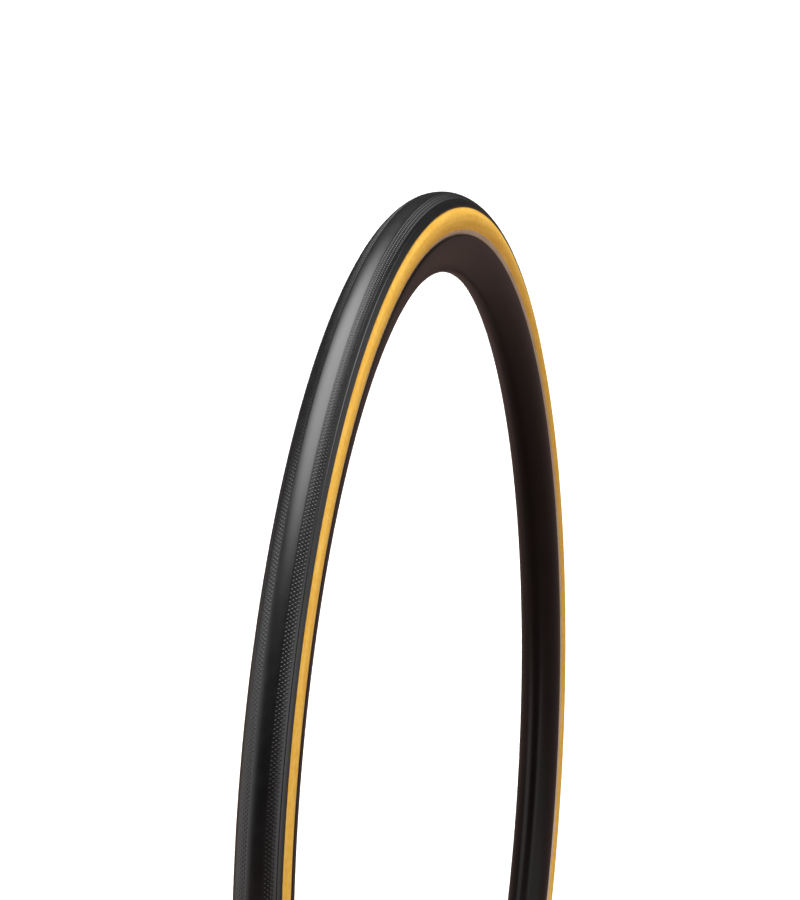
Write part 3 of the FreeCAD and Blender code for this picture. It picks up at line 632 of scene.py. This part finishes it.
def makeTread():
    # smooth in the middle, with a sunk band on each shoulder for the diamonds, and fine lines at the edge
    inner, outer, bevel = tread["bandInner"], tread["bandOuter"], tread["bandBevel"]
    half = capStretch(0.0, inner - bevel, 8)
    half += capStretch(inner, outer, 14, tread["bandDepth"])
    edge = tread["halfWidth"] + tread["edgeDrop"]
    place = outer + tread["outerBevel"]
    for line in tread["lines"]:
        half += capStretch(place, line - tread["lineWidth"], 2)
        half += [onCap(line, tread["lineDepth"])]
        place = line + tread["lineWidth"]
    half += capStretch(place, edge, 2)
    seat = casing["bondGap"]
    overBelt = seat * 2 + tread["beltThickness"]
    step = tread["beltHalfWidth"] + seat * 2
    half += [onSeat(tread["halfWidth"] - (tread["halfWidth"] - step) * i / 3, seat) for i in range(4)]
    half += [onSeat(step * (1 - i / 6), overBelt) for i in range(7)]
    piece = turnedMesh("treadCap", [bothSides(half)], tread["steps"], aboutAxle)
    return finishPiece(piece, "wheel", "tread_rubber", ["tread"])


def diamondTree(sizes):
    # rows of flat-topped diamonds round both shoulders, each second column moved on by half a row
    tree, given = newTree("treadDiamonds", sizes)
    maths = "ShaderNodeMath"
    columns = given["Columns"]
    perSide = addNode(tree, maths, {0: given["Rows"], 1: columns}, operation="MULTIPLY")
    total = addNode(tree, maths, {0: perSide, 1: 2.0}, operation="MULTIPLY")
    points = addNode(tree, "GeometryNodePoints", {"Count": total})
    index = addNode(tree, "GeometryNodeInputIndex")
    sideShare = addNode(tree, maths, {0: index, 1: perSide}, operation="DIVIDE")
    side = addNode(tree, maths, {0: sideShare}, operation="FLOOR")
    sign = addNode(tree, maths, {0: side, 1: 2.0, 2: -1.0}, operation="MULTIPLY_ADD")
    column = addNode(tree, maths, {0: index, 1: columns}, operation="MODULO")
    rowShare = addNode(tree, maths, {0: index, 1: columns}, operation="DIVIDE")
    row = addNode(tree, maths, {0: rowShare}, operation="FLOOR")
    odd = addNode(tree, maths, {0: column, 1: 2.0}, operation="MODULO")
    place = addNode(tree, maths, {0: odd, 1: 0.5, 2: row}, operation="MULTIPLY_ADD")
    turns = addNode(tree, maths, {0: place, 1: given["Rows"]}, operation="DIVIDE")
    angle = addNode(tree, maths, {0: turns, 1: tau}, operation="MULTIPLY")
    ahead = addNode(tree, maths, {0: column, 1: given["Column Spacing"], 2: given["First Column"]},
                    operation="MULTIPLY_ADD")
    overside = addNode(tree, maths, {0: ahead, 1: given["Cap Radius"]}, operation="DIVIDE")
    lean = addNode(tree, maths, {0: overside, 1: sign}, operation="MULTIPLY")
    sinAngle = addNode(tree, maths, {0: angle}, operation="SINE")
    cosAngle = addNode(tree, maths, {0: angle}, operation="COSINE")
    sinLean = addNode(tree, maths, {0: lean}, operation="SINE")
    cosLean = addNode(tree, maths, {0: lean}, operation="COSINE")
    up = addNode(tree, "ShaderNodeCombineXYZ", {
        "X": addNode(tree, maths, {0: cosLean, 1: sinAngle}, operation="MULTIPLY"),
        "Y": sinLean,
        "Z": addNode(tree, maths, {0: cosLean, 1: cosAngle}, operation="MULTIPLY"),
    })
    along = addNode(tree, "ShaderNodeCombineXYZ", {
        "X": cosAngle,
        "Z": addNode(tree, maths, {0: sinAngle, 1: -1.0}, operation="MULTIPLY"),
    })
    outwards = addNode(tree, "ShaderNodeCombineXYZ", {"X": sinAngle, "Z": cosAngle})
    baseRadius = addNode(tree, maths, {0: given["Cap Radius"], 1: given["Height"]}, operation="SUBTRACT")
    capMiddle = addNode(tree, maths, {0: given["Crown Reach"], 1: given["Cap Radius"]}, operation="SUBTRACT")
    vectors = "ShaderNodeVectorMath"
    fromMiddle = addNode(tree, vectors, {0: up, "Scale": baseRadius}, operation="SCALE")
    middle = addNode(tree, vectors, {0: outwards, "Scale": capMiddle}, operation="SCALE")
    spot = addNode(tree, vectors, {0: fromMiddle, 1: middle}, operation="ADD")
    placed = addNode(tree, "GeometryNodeSetPosition", {"Geometry": points, "Position": spot})
    narrow = addNode(tree, maths, {0: given["Top Share"], 1: 0.5}, operation="MULTIPLY")
    diamond = addNode(tree, "GeometryNodeMeshCone", {
        "Vertices": 4, "Radius Top": narrow, "Radius Bottom": 0.5, "Depth": given["Height"],
    })
    sized = addNode(tree, "ShaderNodeCombineXYZ", {"X": given["Length"], "Y": given["Width"], "Z": 1.0})
    turned = addNode(tree, "FunctionNodeAxesToRotation", {"Primary Axis": up, "Secondary Axis": along},
                     primary_axis="Z", secondary_axis="X")
    copies = addNode(tree, "GeometryNodeInstanceOnPoints", {
        "Points": placed, "Instance": diamond.outputs["Mesh"], "Rotation": turned, "Scale": sized,
    })
    return closeTree(tree, copies, given)


def makeDiamonds():
    unitless = ("Rows", "Columns", "Top Share")
    sizes = {key: value if key in unitless else value * mm for key, value in diamonds.items()}
    sizes["Cap Radius"] = tread["capRadius"] * mm
    sizes["Crown Reach"] = crownReach * mm
    sizes["Height"] = tread["bandDepth"] * mm + sizes.pop("Sink")
    piece = bpy.data.objects.new("treadDiamonds", bpy.data.meshes.new("treadDiamonds"))
    bpy.context.scene.collection.objects.link(piece)
    runTree(piece, diamondTree(sizes), sizes, "tread_rubber")
    plainMesh(piece)
    finishPiece(piece, "wheel", "tread_rubber", sharp=20.0)
    print("tread diamonds:", len(piece.data.polygons), "faces")


makeTread()
makeDiamonds()


def rimSection():
    # the outside from the middle of the nose up to the flange and in over the bed, and the hollow inside it
    half = rimHalfWidth
    seatWall = half - rim["flangeWall"]
    straightEnd = bulbCentre[1] - rim["straightWall"]
    sideCentre = (half - rim["sideRadius"], straightEnd)
    drop = straightEnd - rimNose
    noseRadius = (rim["sideRadius"]**2 - sideCentre[0]**2 - drop**2) / (2 * (rim["sideRadius"] - drop))
    noseCentre = (0.0, rimNose + noseRadius)
    meet = bearing(sideCentre, noseCentre)
    hook = math.degrees(math.acos((seatWall - bulbCentre[0]) / rim["bulbRadius"]))
    outside = arc(noseCentre, noseRadius, -90, meet, 8)
    outside += arc(sideCentre, rim["sideRadius"], meet, 0, 16)[1:]
    outside += arc(bulbCentre, rim["bulbRadius"], 0, 360 - hook, 14)
    wellFloor = bead - rim["wellDepth"]
    outside += [(seatWall, bead), (rim["wellHalfWidth"], bead)]
    outside += [(rim["wellHalfWidth"] - rim["wellSlope"], wellFloor), (0.0, wellFloor)]
    shell = rim["shellWall"]
    ceiling = wellFloor - rim["bedThickness"]
    top = math.degrees(math.asin((ceiling - straightEnd) / (rim["sideRadius"] - shell)))
    hollow = arc(noseCentre, noseRadius - shell, -90, meet, 6)
    hollow += arc(sideCentre, rim["sideRadius"] - shell, meet, top, 8)[1:]
    return bothSides(outside), bothSides(hollow + [(0.0, ceiling)])


def mendSeams(piece):
    # joins what the drill left a hair apart
    bm = bmesh.new()
    bm.from_mesh(piece.data)
    bmesh.ops.remove_doubles(bm, verts=bm.verts, dist=0.002 * mm)
    bmesh.ops.dissolve_degenerate(bm, edges=bm.edges, dist=0.001 * mm)
    left = [edge for edge in bm.edges if not edge.is_manifold]
    print("rim edges left open:", len(left))
    bm.to_mesh(piece.data)
    bm.free()


def makeRim():
    outside, hollow = rimSection()
    piece = turnedMesh("rimHoop", [outside, hollow], rim["steps"], aboutAxle)
    drill = turnedMesh("drill", [valveHole()], rim["drillSteps"], aboutValve, 0)
    cut = piece.modifiers.new("valveHole", "BOOLEAN")
    cut.operation = "DIFFERENCE"
    cut.solver = "EXACT"
    cut.object = drill
    plainMesh(piece)
    bpy.data.objects.remove(drill)
    mendSeams(piece)
    return finishPiece(piece, "wheel", "rim_black", ["rim"])


def valveHole():
    # a plug as wide as the valve hole, from inside the well to past the nose
    radius = rim["valveHoleRadius"]
    low = -(bead + stemFoot) - rim["drillOverrun"]
    high = -(rimNose + stemFoot) + rim["drillOverrun"]
    return [(0.0, low), (radius, low), (radius, high), (0.0, high)]


makeRim()
print("tread and rim made")

valve = {
    "footRadius": 4.0,
    "footHeight": 1.0,
    "reliefHeight": 0.8,
    "reliefDepth": 0.3,
    "gripLength": 12.0,
    "tipRadius": 2.6,
    "tipLength": 9.0,
    "bevel": 0.3,
    "bore": 2.0,
    "shankRadius": 3.0,
    "reliefSlope": 0.1,
    "tipEdge": 0.02,
    "shankThreadInset": (0.5, 0.2),
    "tipThreadInset": (0.3, 0.1),
    "steps": 64,
    "threadStep": 0.2,
}
shankThread = {"Full Radius": 2.9, "Grooves": 1, "Pitch": 0.8, "Depth": 0.3, "Run Out": 0.6}
tipThread = {"Full Radius": 2.5, "Grooves": 1, "Pitch": 0.8, "Depth": 0.28, "Run Out": 0.5}
pinThread = {"Full Radius": 0.7, "Grooves": 1, "Pitch": 0.4, "Depth": 0.13, "Run Out": 0.3}
rimNutKnurl = {"Full Radius": 5.1, "Grooves": 36, "Pitch": 0.0, "Depth": 0.4, "Run Out": 0.4}
lockNutKnurl = {"Full Radius": 2.0, "Grooves": 20, "Pitch": 0.0, "Depth": 0.22, "Run Out": 0.25}
capRibs = {"Full Radius": 3.0, "Grooves": 18, "Pitch": 0.0, "Depth": 0.3, "Run Out": 1.0}

stemTop = valveSpan("valve_stem")[1]
shankRadius = valve["shankRadius"]
gripTop = stemTop - valve["tipLength"] - valve["bevel"]
gripFoot = gripTop - valve["gripLength"]
reliefFoot = gripFoot - valve["reliefHeight"]


def stretch(radius, low, high, step):
    # points straight up a cylinder, close enough together for a thread or a rib to bend it
    count = max(1, round((high - low) / step))
    return [(radius, low + (high - low) * i / count) for i in range(count + 1)]


def grooveTree(sizes):
    # presses grooves into the outside of a turned piece: straight ones, or one that winds round as a thread
    tree, given = newTree("turnedGrooves", sizes)
    maths = "ShaderNodeMath"
    place = addNode(tree, "GeometryNodeInputPosition")
    parts = addNode(tree, "ShaderNodeSeparateXYZ", {0: place})
    outwards = addNode(tree, "ShaderNodeCombineXYZ", {"X": parts.outputs["X"], "Y": parts.outputs["Y"]})
    radius = addNode(tree, "ShaderNodeVectorMath", {0: outwards}, operation="LENGTH").outputs["Value"]
    angle = addNode(tree, maths, {0: parts.outputs["Y"], 1: parts.outputs["X"]}, operation="ARCTAN2")
    turns = addNode(tree, maths, {0: angle, 1: tau}, operation="DIVIDE")
    grooved = addNode(tree, maths, {0: turns, 1: given["Grooves"]}, operation="MULTIPLY")
    wound = addNode(tree, maths, {0: parts.outputs["Z"], 1: given["Turns Per Metre"], 2: grooved},
                    operation="MULTIPLY_ADD")
    share = addNode(tree, maths, {0: wound}, operation="FRACT")
    split = addNode(tree, maths, {0: share, 1: 2.0, 2: -1.0}, operation="MULTIPLY_ADD")
    wave = addNode(tree, maths, {0: 1.0, 1: addNode(tree, maths, {0: split}, operation="ABSOLUTE")},
                   operation="SUBTRACT")
    fadeIn = addNode(tree, "ShaderNodeMapRange", {
        "Value": parts.outputs["Z"], "From Min": given["From"],
        "From Max": addNode(tree, maths, {0: given["From"], 1: given["Run Out"]}, operation="ADD"),
    })
    fadeOut = addNode(tree, "ShaderNodeMapRange", {
        "Value": parts.outputs["Z"], "From Max": given["To"], "To Min": 1.0, "To Max": 0.0,
        "From Min": addNode(tree, maths, {0: given["To"], 1: given["Run Out"]}, operation="SUBTRACT"),
    })
    fade = addNode(tree, maths, {0: fadeIn, 1: fadeOut}, operation="MULTIPLY")
    outside = addNode(tree, maths, {0: radius, 1: given["Full Radius"]}, operation="GREATER_THAN")
    faded = addNode(tree, maths, {0: wave, 1: fade}, operation="MULTIPLY")
    depth = addNode(tree, maths, {0: faded, 1: given["Depth"]}, operation="MULTIPLY")
    pressure = addNode(tree, maths, {0: depth, 1: outside}, operation="MULTIPLY")
    inwards = addNode(tree, maths, {0: pressure, 1: -1.0}, operation="MULTIPLY")
    away = addNode(tree, "ShaderNodeVectorMath", {0: outwards}, operation="NORMALIZE")
    pressed = addNode(tree, "ShaderNodeVectorMath", {0: away, "Scale": inwards}, operation="SCALE")
    moved = addNode(tree, "GeometryNodeSetPosition", {"Geometry": given["Geometry"], "Offset": pressed})
    return closeTree(tree, moved, given)


def pressGrooves(piece, groove, low, high, slot):
    # between two heights above the stem's foot
    pitch = groove["Pitch"]
    sizes = {
        "Full Radius": groove["Full Radius"] * mm, "Grooves": groove["Grooves"],
        "Depth": groove["Depth"] * mm,
        "Turns Per Metre": 1 / (pitch * mm) if pitch else 0.0, "Run Out": groove["Run Out"] * mm,
        "From": (stemFoot + low) * mm, "To": (stemFoot + high) * mm,
    }
    runTree(piece, grooveTree(sizes), sizes, slot)


slotOf = {part["node"]: part["material_slot"] for part in frame["record"]["subparts"]}
bodyOf = {node: body for body, nodes in frame["record"]["behaviour"]["bodies"].items() for node in nodes}


def turnedOnValve(name, node, outline, grooves=(), toSpace=aboutValve, steps=valve["steps"]):
    # a turned valve piece with its grooves, in place of the plain one
    piece = turnedMesh(name, [outline], steps, toSpace, 0)
    for groove, low, high in grooves:
        pressGrooves(piece, groove, low, high, slotOf[node])
    if grooves:
        plainMesh(piece)
    return finishPiece(piece, bodyOf[node], slotOf[node], [node])


def makeStem():
    # foot, threaded shank, relief, the smooth stretch that a pump grips, and the threaded tip
    bore, bevel, step = valve["bore"], valve["bevel"], valve["threadStep"]
    slope, relief = valve["reliefSlope"], shankRadius - valve["reliefDepth"]
    tip, tipFoot = valve["tipRadius"], gripTop + bevel
    outline = [(bore, 0.0), (valve["footRadius"], 0.0), (valve["footRadius"], valve["footHeight"])]
    outline += stretch(shankRadius, valve["footHeight"], reliefFoot - slope, step)
    outline += [(relief, reliefFoot), (relief, gripFoot - slope)]
    outline += [(shankRadius, gripFoot), (shankRadius, gripTop), (shankRadius - bevel, tipFoot)]
    outline += stretch(tip, tipFoot + valve["tipEdge"], stemTop - bevel / 2, step)
    outline += [(tip - bevel / 2, stemTop), (bore, stemTop)]
    shankLow, shankHigh = valve["shankThreadInset"]
    tipLow, tipHigh = valve["tipThreadInset"]
    return turnedOnValve("threadedStem", "valve_stem", outline, [
        (shankThread, valve["footHeight"] + shankLow, reliefFoot - shankHigh),
        (tipThread, tipFoot + tipLow, stemTop - tipHigh),
    ])


rimNut = {"boreGap": 0.05, "countersink": 0.6, "countersinkDepth": 0.3, "knurlStep": 0.4, "steps": 144}


def makeRimNut():
    low, high, radius = valveSpan("rim_nut")
    bevel = valve["bevel"]
    bore = shankRadius + rimNut["boreGap"]
    outline = [(bore, low), (radius - bevel, low)]
    outline += stretch(radius, low + bevel, high - bevel, rimNut["knurlStep"])
    outline += [(radius - bevel, high), (bore + rimNut["countersink"], high)]
    outline += [(bore, high - rimNut["countersinkDepth"])]
    return turnedOnValve("knurledRimNut", "rim_nut", outline, [(rimNutKnurl, low, high)],
                         steps=rimNut["steps"])


core = {"noseRadius": 1.45, "noseLength": 1.1, "plugRadius": 1.95, "bore": 1.1, "headGap": 0.04,
        "flatHalf": 1.85, "flatFrom": 0.8, "flatEdge": 0.01, "countersink": 0.25, "countersinkDepth": 0.2}


def overFlats(angle, radius, height):
    # the core's head has two flats for a wrench
    x, y, z = aboutValve(angle, radius, height)
    flat = core["flatHalf"] * mm
    return (max(-flat, min(flat, x)), y, z) if height >= stemTop + core["flatFrom"] else (x, y, z)


def makeCore():
    low, high, radius = valveSpan("valve_core")
    plugFoot = low + core["noseLength"]
    headFoot = stemTop + core["headGap"]
    flatFoot = stemTop + core["flatFrom"]
    bevel, bore = valve["bevel"], core["bore"]
    outline = [(bore, low), (core["noseRadius"], low), (core["noseRadius"], plugFoot)]
    outline += [(core["plugRadius"], plugFoot), (core["plugRadius"], headFoot), (radius, headFoot)]
    outline += [(radius, flatFoot - core["flatEdge"]), (radius, flatFoot)]
    outline += [(radius, high - bevel), (radius - bevel, high)]
    outline += [(bore + core["countersink"], high), (bore, high - core["countersinkDepth"])]
    return turnedOnValve("coreWithFlats", "valve_core", outline, toSpace=overFlats)


pin = {"radius": 0.8, "headRadius": 1.0, "headHeight": 0.7, "headBevel": (0.25, 0.2), "footHeight": 0.8,
       "footBevel": 0.15, "threadFrom": 0.2, "threadStep": 0.1, "steps": 32}


def makePin():
    low, high, footRadius = valveSpan("valve_pin")
    head, bevel = pin["headRadius"], pin["footBevel"]
    headFoot, footTop = high - pin["headHeight"], low + pin["footHeight"]
    headBevel, headBevelDepth = pin["headBevel"]
    threadFoot = valveSpan("valve_core")[1] + pin["threadFrom"]
    outline = [(0.0, low), (footRadius - bevel, low), (footRadius, low + bevel), (footRadius, footTop)]
    outline += [(pin["radius"], footTop)] + stretch(pin["radius"], threadFoot, headFoot, pin["threadStep"])
    outline += [(head, headFoot), (head, high - headBevelDepth), (head - headBevel, high), (0.0, high)]
    return turnedOnValve("threadedPin", "valve_pin", outline, [(pinThread, threadFoot, headFoot)],
                         steps=pin["steps"])


lockNut = {"bore": 0.85, "waist": 0.5, "waistHeight": 0.35, "shoulder": 0.6, "bevel": 0.25,
           "knurlStep": 0.25, "knurlFrom": 0.55, "countersink": 0.2, "countersinkDepth": 0.15, "steps": 80}


def makeLockNut():
    low, high, radius = valveSpan("lock_nut")
    bore, waist, bevel = lockNut["bore"], radius - lockNut["waist"], lockNut["bevel"]
    outline = [(bore, low), (waist, low), (waist, low + lockNut["waistHeight"])]
    outline += stretch(radius, low + lockNut["shoulder"], high - bevel, lockNut["knurlStep"])
    outline += [(radius - bevel, high), (bore + lockNut["countersink"], high)]
    outline += [(bore, high - lockNut["countersinkDepth"])]
    knurl = (lockNutKnurl, low + lockNut["knurlFrom"], high)
    return turnedOnValve("knurledLockNut", "lock_nut", outline, [knurl], steps=lockNut["steps"])


cap = {"wall": 0.9, "room": 2.48, "topThickness": 0.9, "topRadius": 1.5, "lipBevel": 0.2, "stepAbove": 0.18,
       "ribStep": 0.5, "ribsFrom": 0.4, "ribsEnd": 0.6, "taperPoints": 20, "steps": 144}


def makeCap():
    # ribbed for the fingers, stepping in over the core and rounded over at the top
    low, high, radius = valveSpan("valve_cap")
    room, lip, rounding = cap["room"], cap["lipBevel"], cap["topRadius"]
    grip, step, ceiling = radius - cap["wall"], stemTop + cap["stepAbove"], high - cap["topThickness"]
    shoulder, ribsEnd, points = room + cap["wall"], ceiling - cap["ribsEnd"], cap["taperPoints"]
    outline = [(grip, low), (radius - lip, low)] + stretch(radius, low + lip, step, cap["ribStep"])
    for i in range(1, points + 1):
        outline.append((radius + (shoulder - radius) * i / points, step + (ribsEnd - step) * i / points))
    outline += arc((shoulder - rounding, high - rounding), rounding, 0, 90, 6)[1:]
    outline += [(0.0, high), (0.0, ceiling), (room, ceiling), (room, step), (grip, step)]
    ribs = (capRibs, low + cap["ribsFrom"], ribsEnd)
    return turnedOnValve("ribbedCap", "valve_cap", outline, [ribs], steps=cap["steps"])


for make in (makeStem, makeRimNut, makeCore, makePin, makeLockNut, makeCap):
    make()
print("valve made")

for name, node in frame["nodes"].items():
    for holder in node.material_slots:
        holder.material = materials[slotOf[name]]
print("plain layers coated")

camera = bpy.data.objects.new("camera", bpy.data.cameras.new("camera"))
bpy.context.scene.collection.objects.link(camera)
bpy.context.scene.camera = camera
shot = {"azimuth": -75.771, "elevation": 10.969, "distance": 1.890436, "lens": 141.71,
        "target": (-0.055921, 0.0, 0.209043)}


def placeCamera():
    turn, rise = math.radians(shot["azimuth"]), math.radians(shot["elevation"])
    back = Vector((math.sin(turn) * math.cos(rise), -math.cos(turn) * math.cos(rise), math.sin(rise)))
    camera.location = Vector(shot["target"]) + back * shot["distance"]
    camera.rotation_mode = "QUATERNION"
    camera.rotation_quaternion = (-back).to_track_quat("-Z", "Y")
    camera.data.lens = shot["lens"]
    camera.data.clip_start = 0.05
    camera.data.clip_end = 100.0


placeCamera()

studio = {
    "floorSize": 80.0,
    "floorColour": "#f6f6f6",
    "floorBounce": "#66544f",
    "shade": 0.04,
    # each soft light: the way to it, its brightness, and how many degrees off it ends and is full
    "lights": {
        "overhead": {"towards": (0.08, 0.06, 0.97), "bright": 7.4, "ends": 40, "full": 13},
        "rightWall": {"towards": (0.3, -0.95, 0.15), "bright": 0.92, "ends": 48, "full": 18},
    },
    # upright soft panels, one on each side of the tire, that reach down to about the ground
    "panels": {
        "leftPanel": {
            "middle": (-0.95, 1.3, 0.45), "faces": (0, -1, 0), "wide": 1.9, "high": 1.6, "bright": 1.45,
        },
        "rightPanel": {
            "middle": (-0.65, -1.4, 0.3), "faces": (0, 1, 0), "wide": 0.95, "high": 1.3, "bright": 1.5,
        },
    },
}


def makeFloor():
    bm = bmesh.new()
    bmesh.ops.create_grid(bm, x_segments=2, y_segments=2, size=studio["floorSize"] / 2)
    bmesh.ops.translate(bm, verts=bm.verts, vec=(0, 0, cadLow.z))
    mesh = bpy.data.meshes.new("floor")
    bm.to_mesh(mesh)
    bm.free()
    floor = bpy.data.objects.new("floor", mesh)
    bpy.context.scene.collection.objects.link(floor)
    # pale to the eye, and dim in what the tire mirrors, as if the ground were far below
    material, tree, pale = newMaterial("paleFloor", {"Base Color": studio["floorColour"], "Roughness": 0.9,
                                                     "Specular IOR Level": 0.1})
    dim = addNode(tree, "ShaderNodeBsdfDiffuse", {"Color": hexColour(studio["floorBounce"])})
    seen = addNode(tree, "ShaderNodeLightPath").outputs["Is Camera Ray"]
    both = addNode(tree, "ShaderNodeMixShader", {0: seen, 1: dim, 2: pale})
    tree.links.new(both.outputs[0], tree.nodes["Material Output"].inputs["Surface"])
    mesh.materials.append(material)


def makeWorld():
    # one big soft light overhead and a weaker one low on the right, fading to near dark all round
    world = bpy.data.worlds.new("studio")
    bpy.context.scene.world = world
    world.use_nodes = True
    tree = world.node_tree
    tree.nodes.clear()
    way = addNode(tree, "ShaderNodeTexCoord").outputs["Generated"]
    level = addNode(tree, "ShaderNodeValue")
    level.outputs[0].default_value = studio["shade"]
    for light in studio["lights"].values():
        middle = tuple(Vector(light["towards"]).normalized())
        near = addNode(tree, "ShaderNodeVectorMath", {0: way, 1: middle}, operation="DOT_PRODUCT")
        glow = addNode(tree, "ShaderNodeMapRange", {
            "Value": near.outputs["Value"], "From Min": math.cos(math.radians(light["ends"])),
            "From Max": math.cos(math.radians(light["full"])), "To Min": 0.0, "To Max": light["bright"],
        }, interpolation_type="SMOOTHSTEP")
        level = addNode(tree, "ShaderNodeMath", {0: level, 1: glow}, operation="ADD")
    light = addNode(tree, "ShaderNodeBackground", {"Color": (1, 1, 1, 1), "Strength": level})
    addNode(tree, "ShaderNodeOutputWorld", {"Surface": light})


def hangPanels():
    for name, panel in studio["panels"].items():
        light = bpy.data.lights.new(name, "AREA")
        light.shape = "RECTANGLE"
        light.size, light.size_y = panel["wide"], panel["high"]
        light.energy = panel["bright"] * math.pi * panel["wide"] * panel["high"]
        holder = bpy.data.objects.new(name, light)
        holder.location = panel["middle"]
        holder.rotation_mode = "QUATERNION"
        holder.rotation_quaternion = Vector(panel["faces"]).to_track_quat("-Z", "Y")
        holder.visible_camera = False
        bpy.context.scene.collection.objects.link(holder)


makeFloor()
makeWorld()
hangPanels()
bpy.context.scene.view_settings.view_transform = "Standard"
print("stage set")
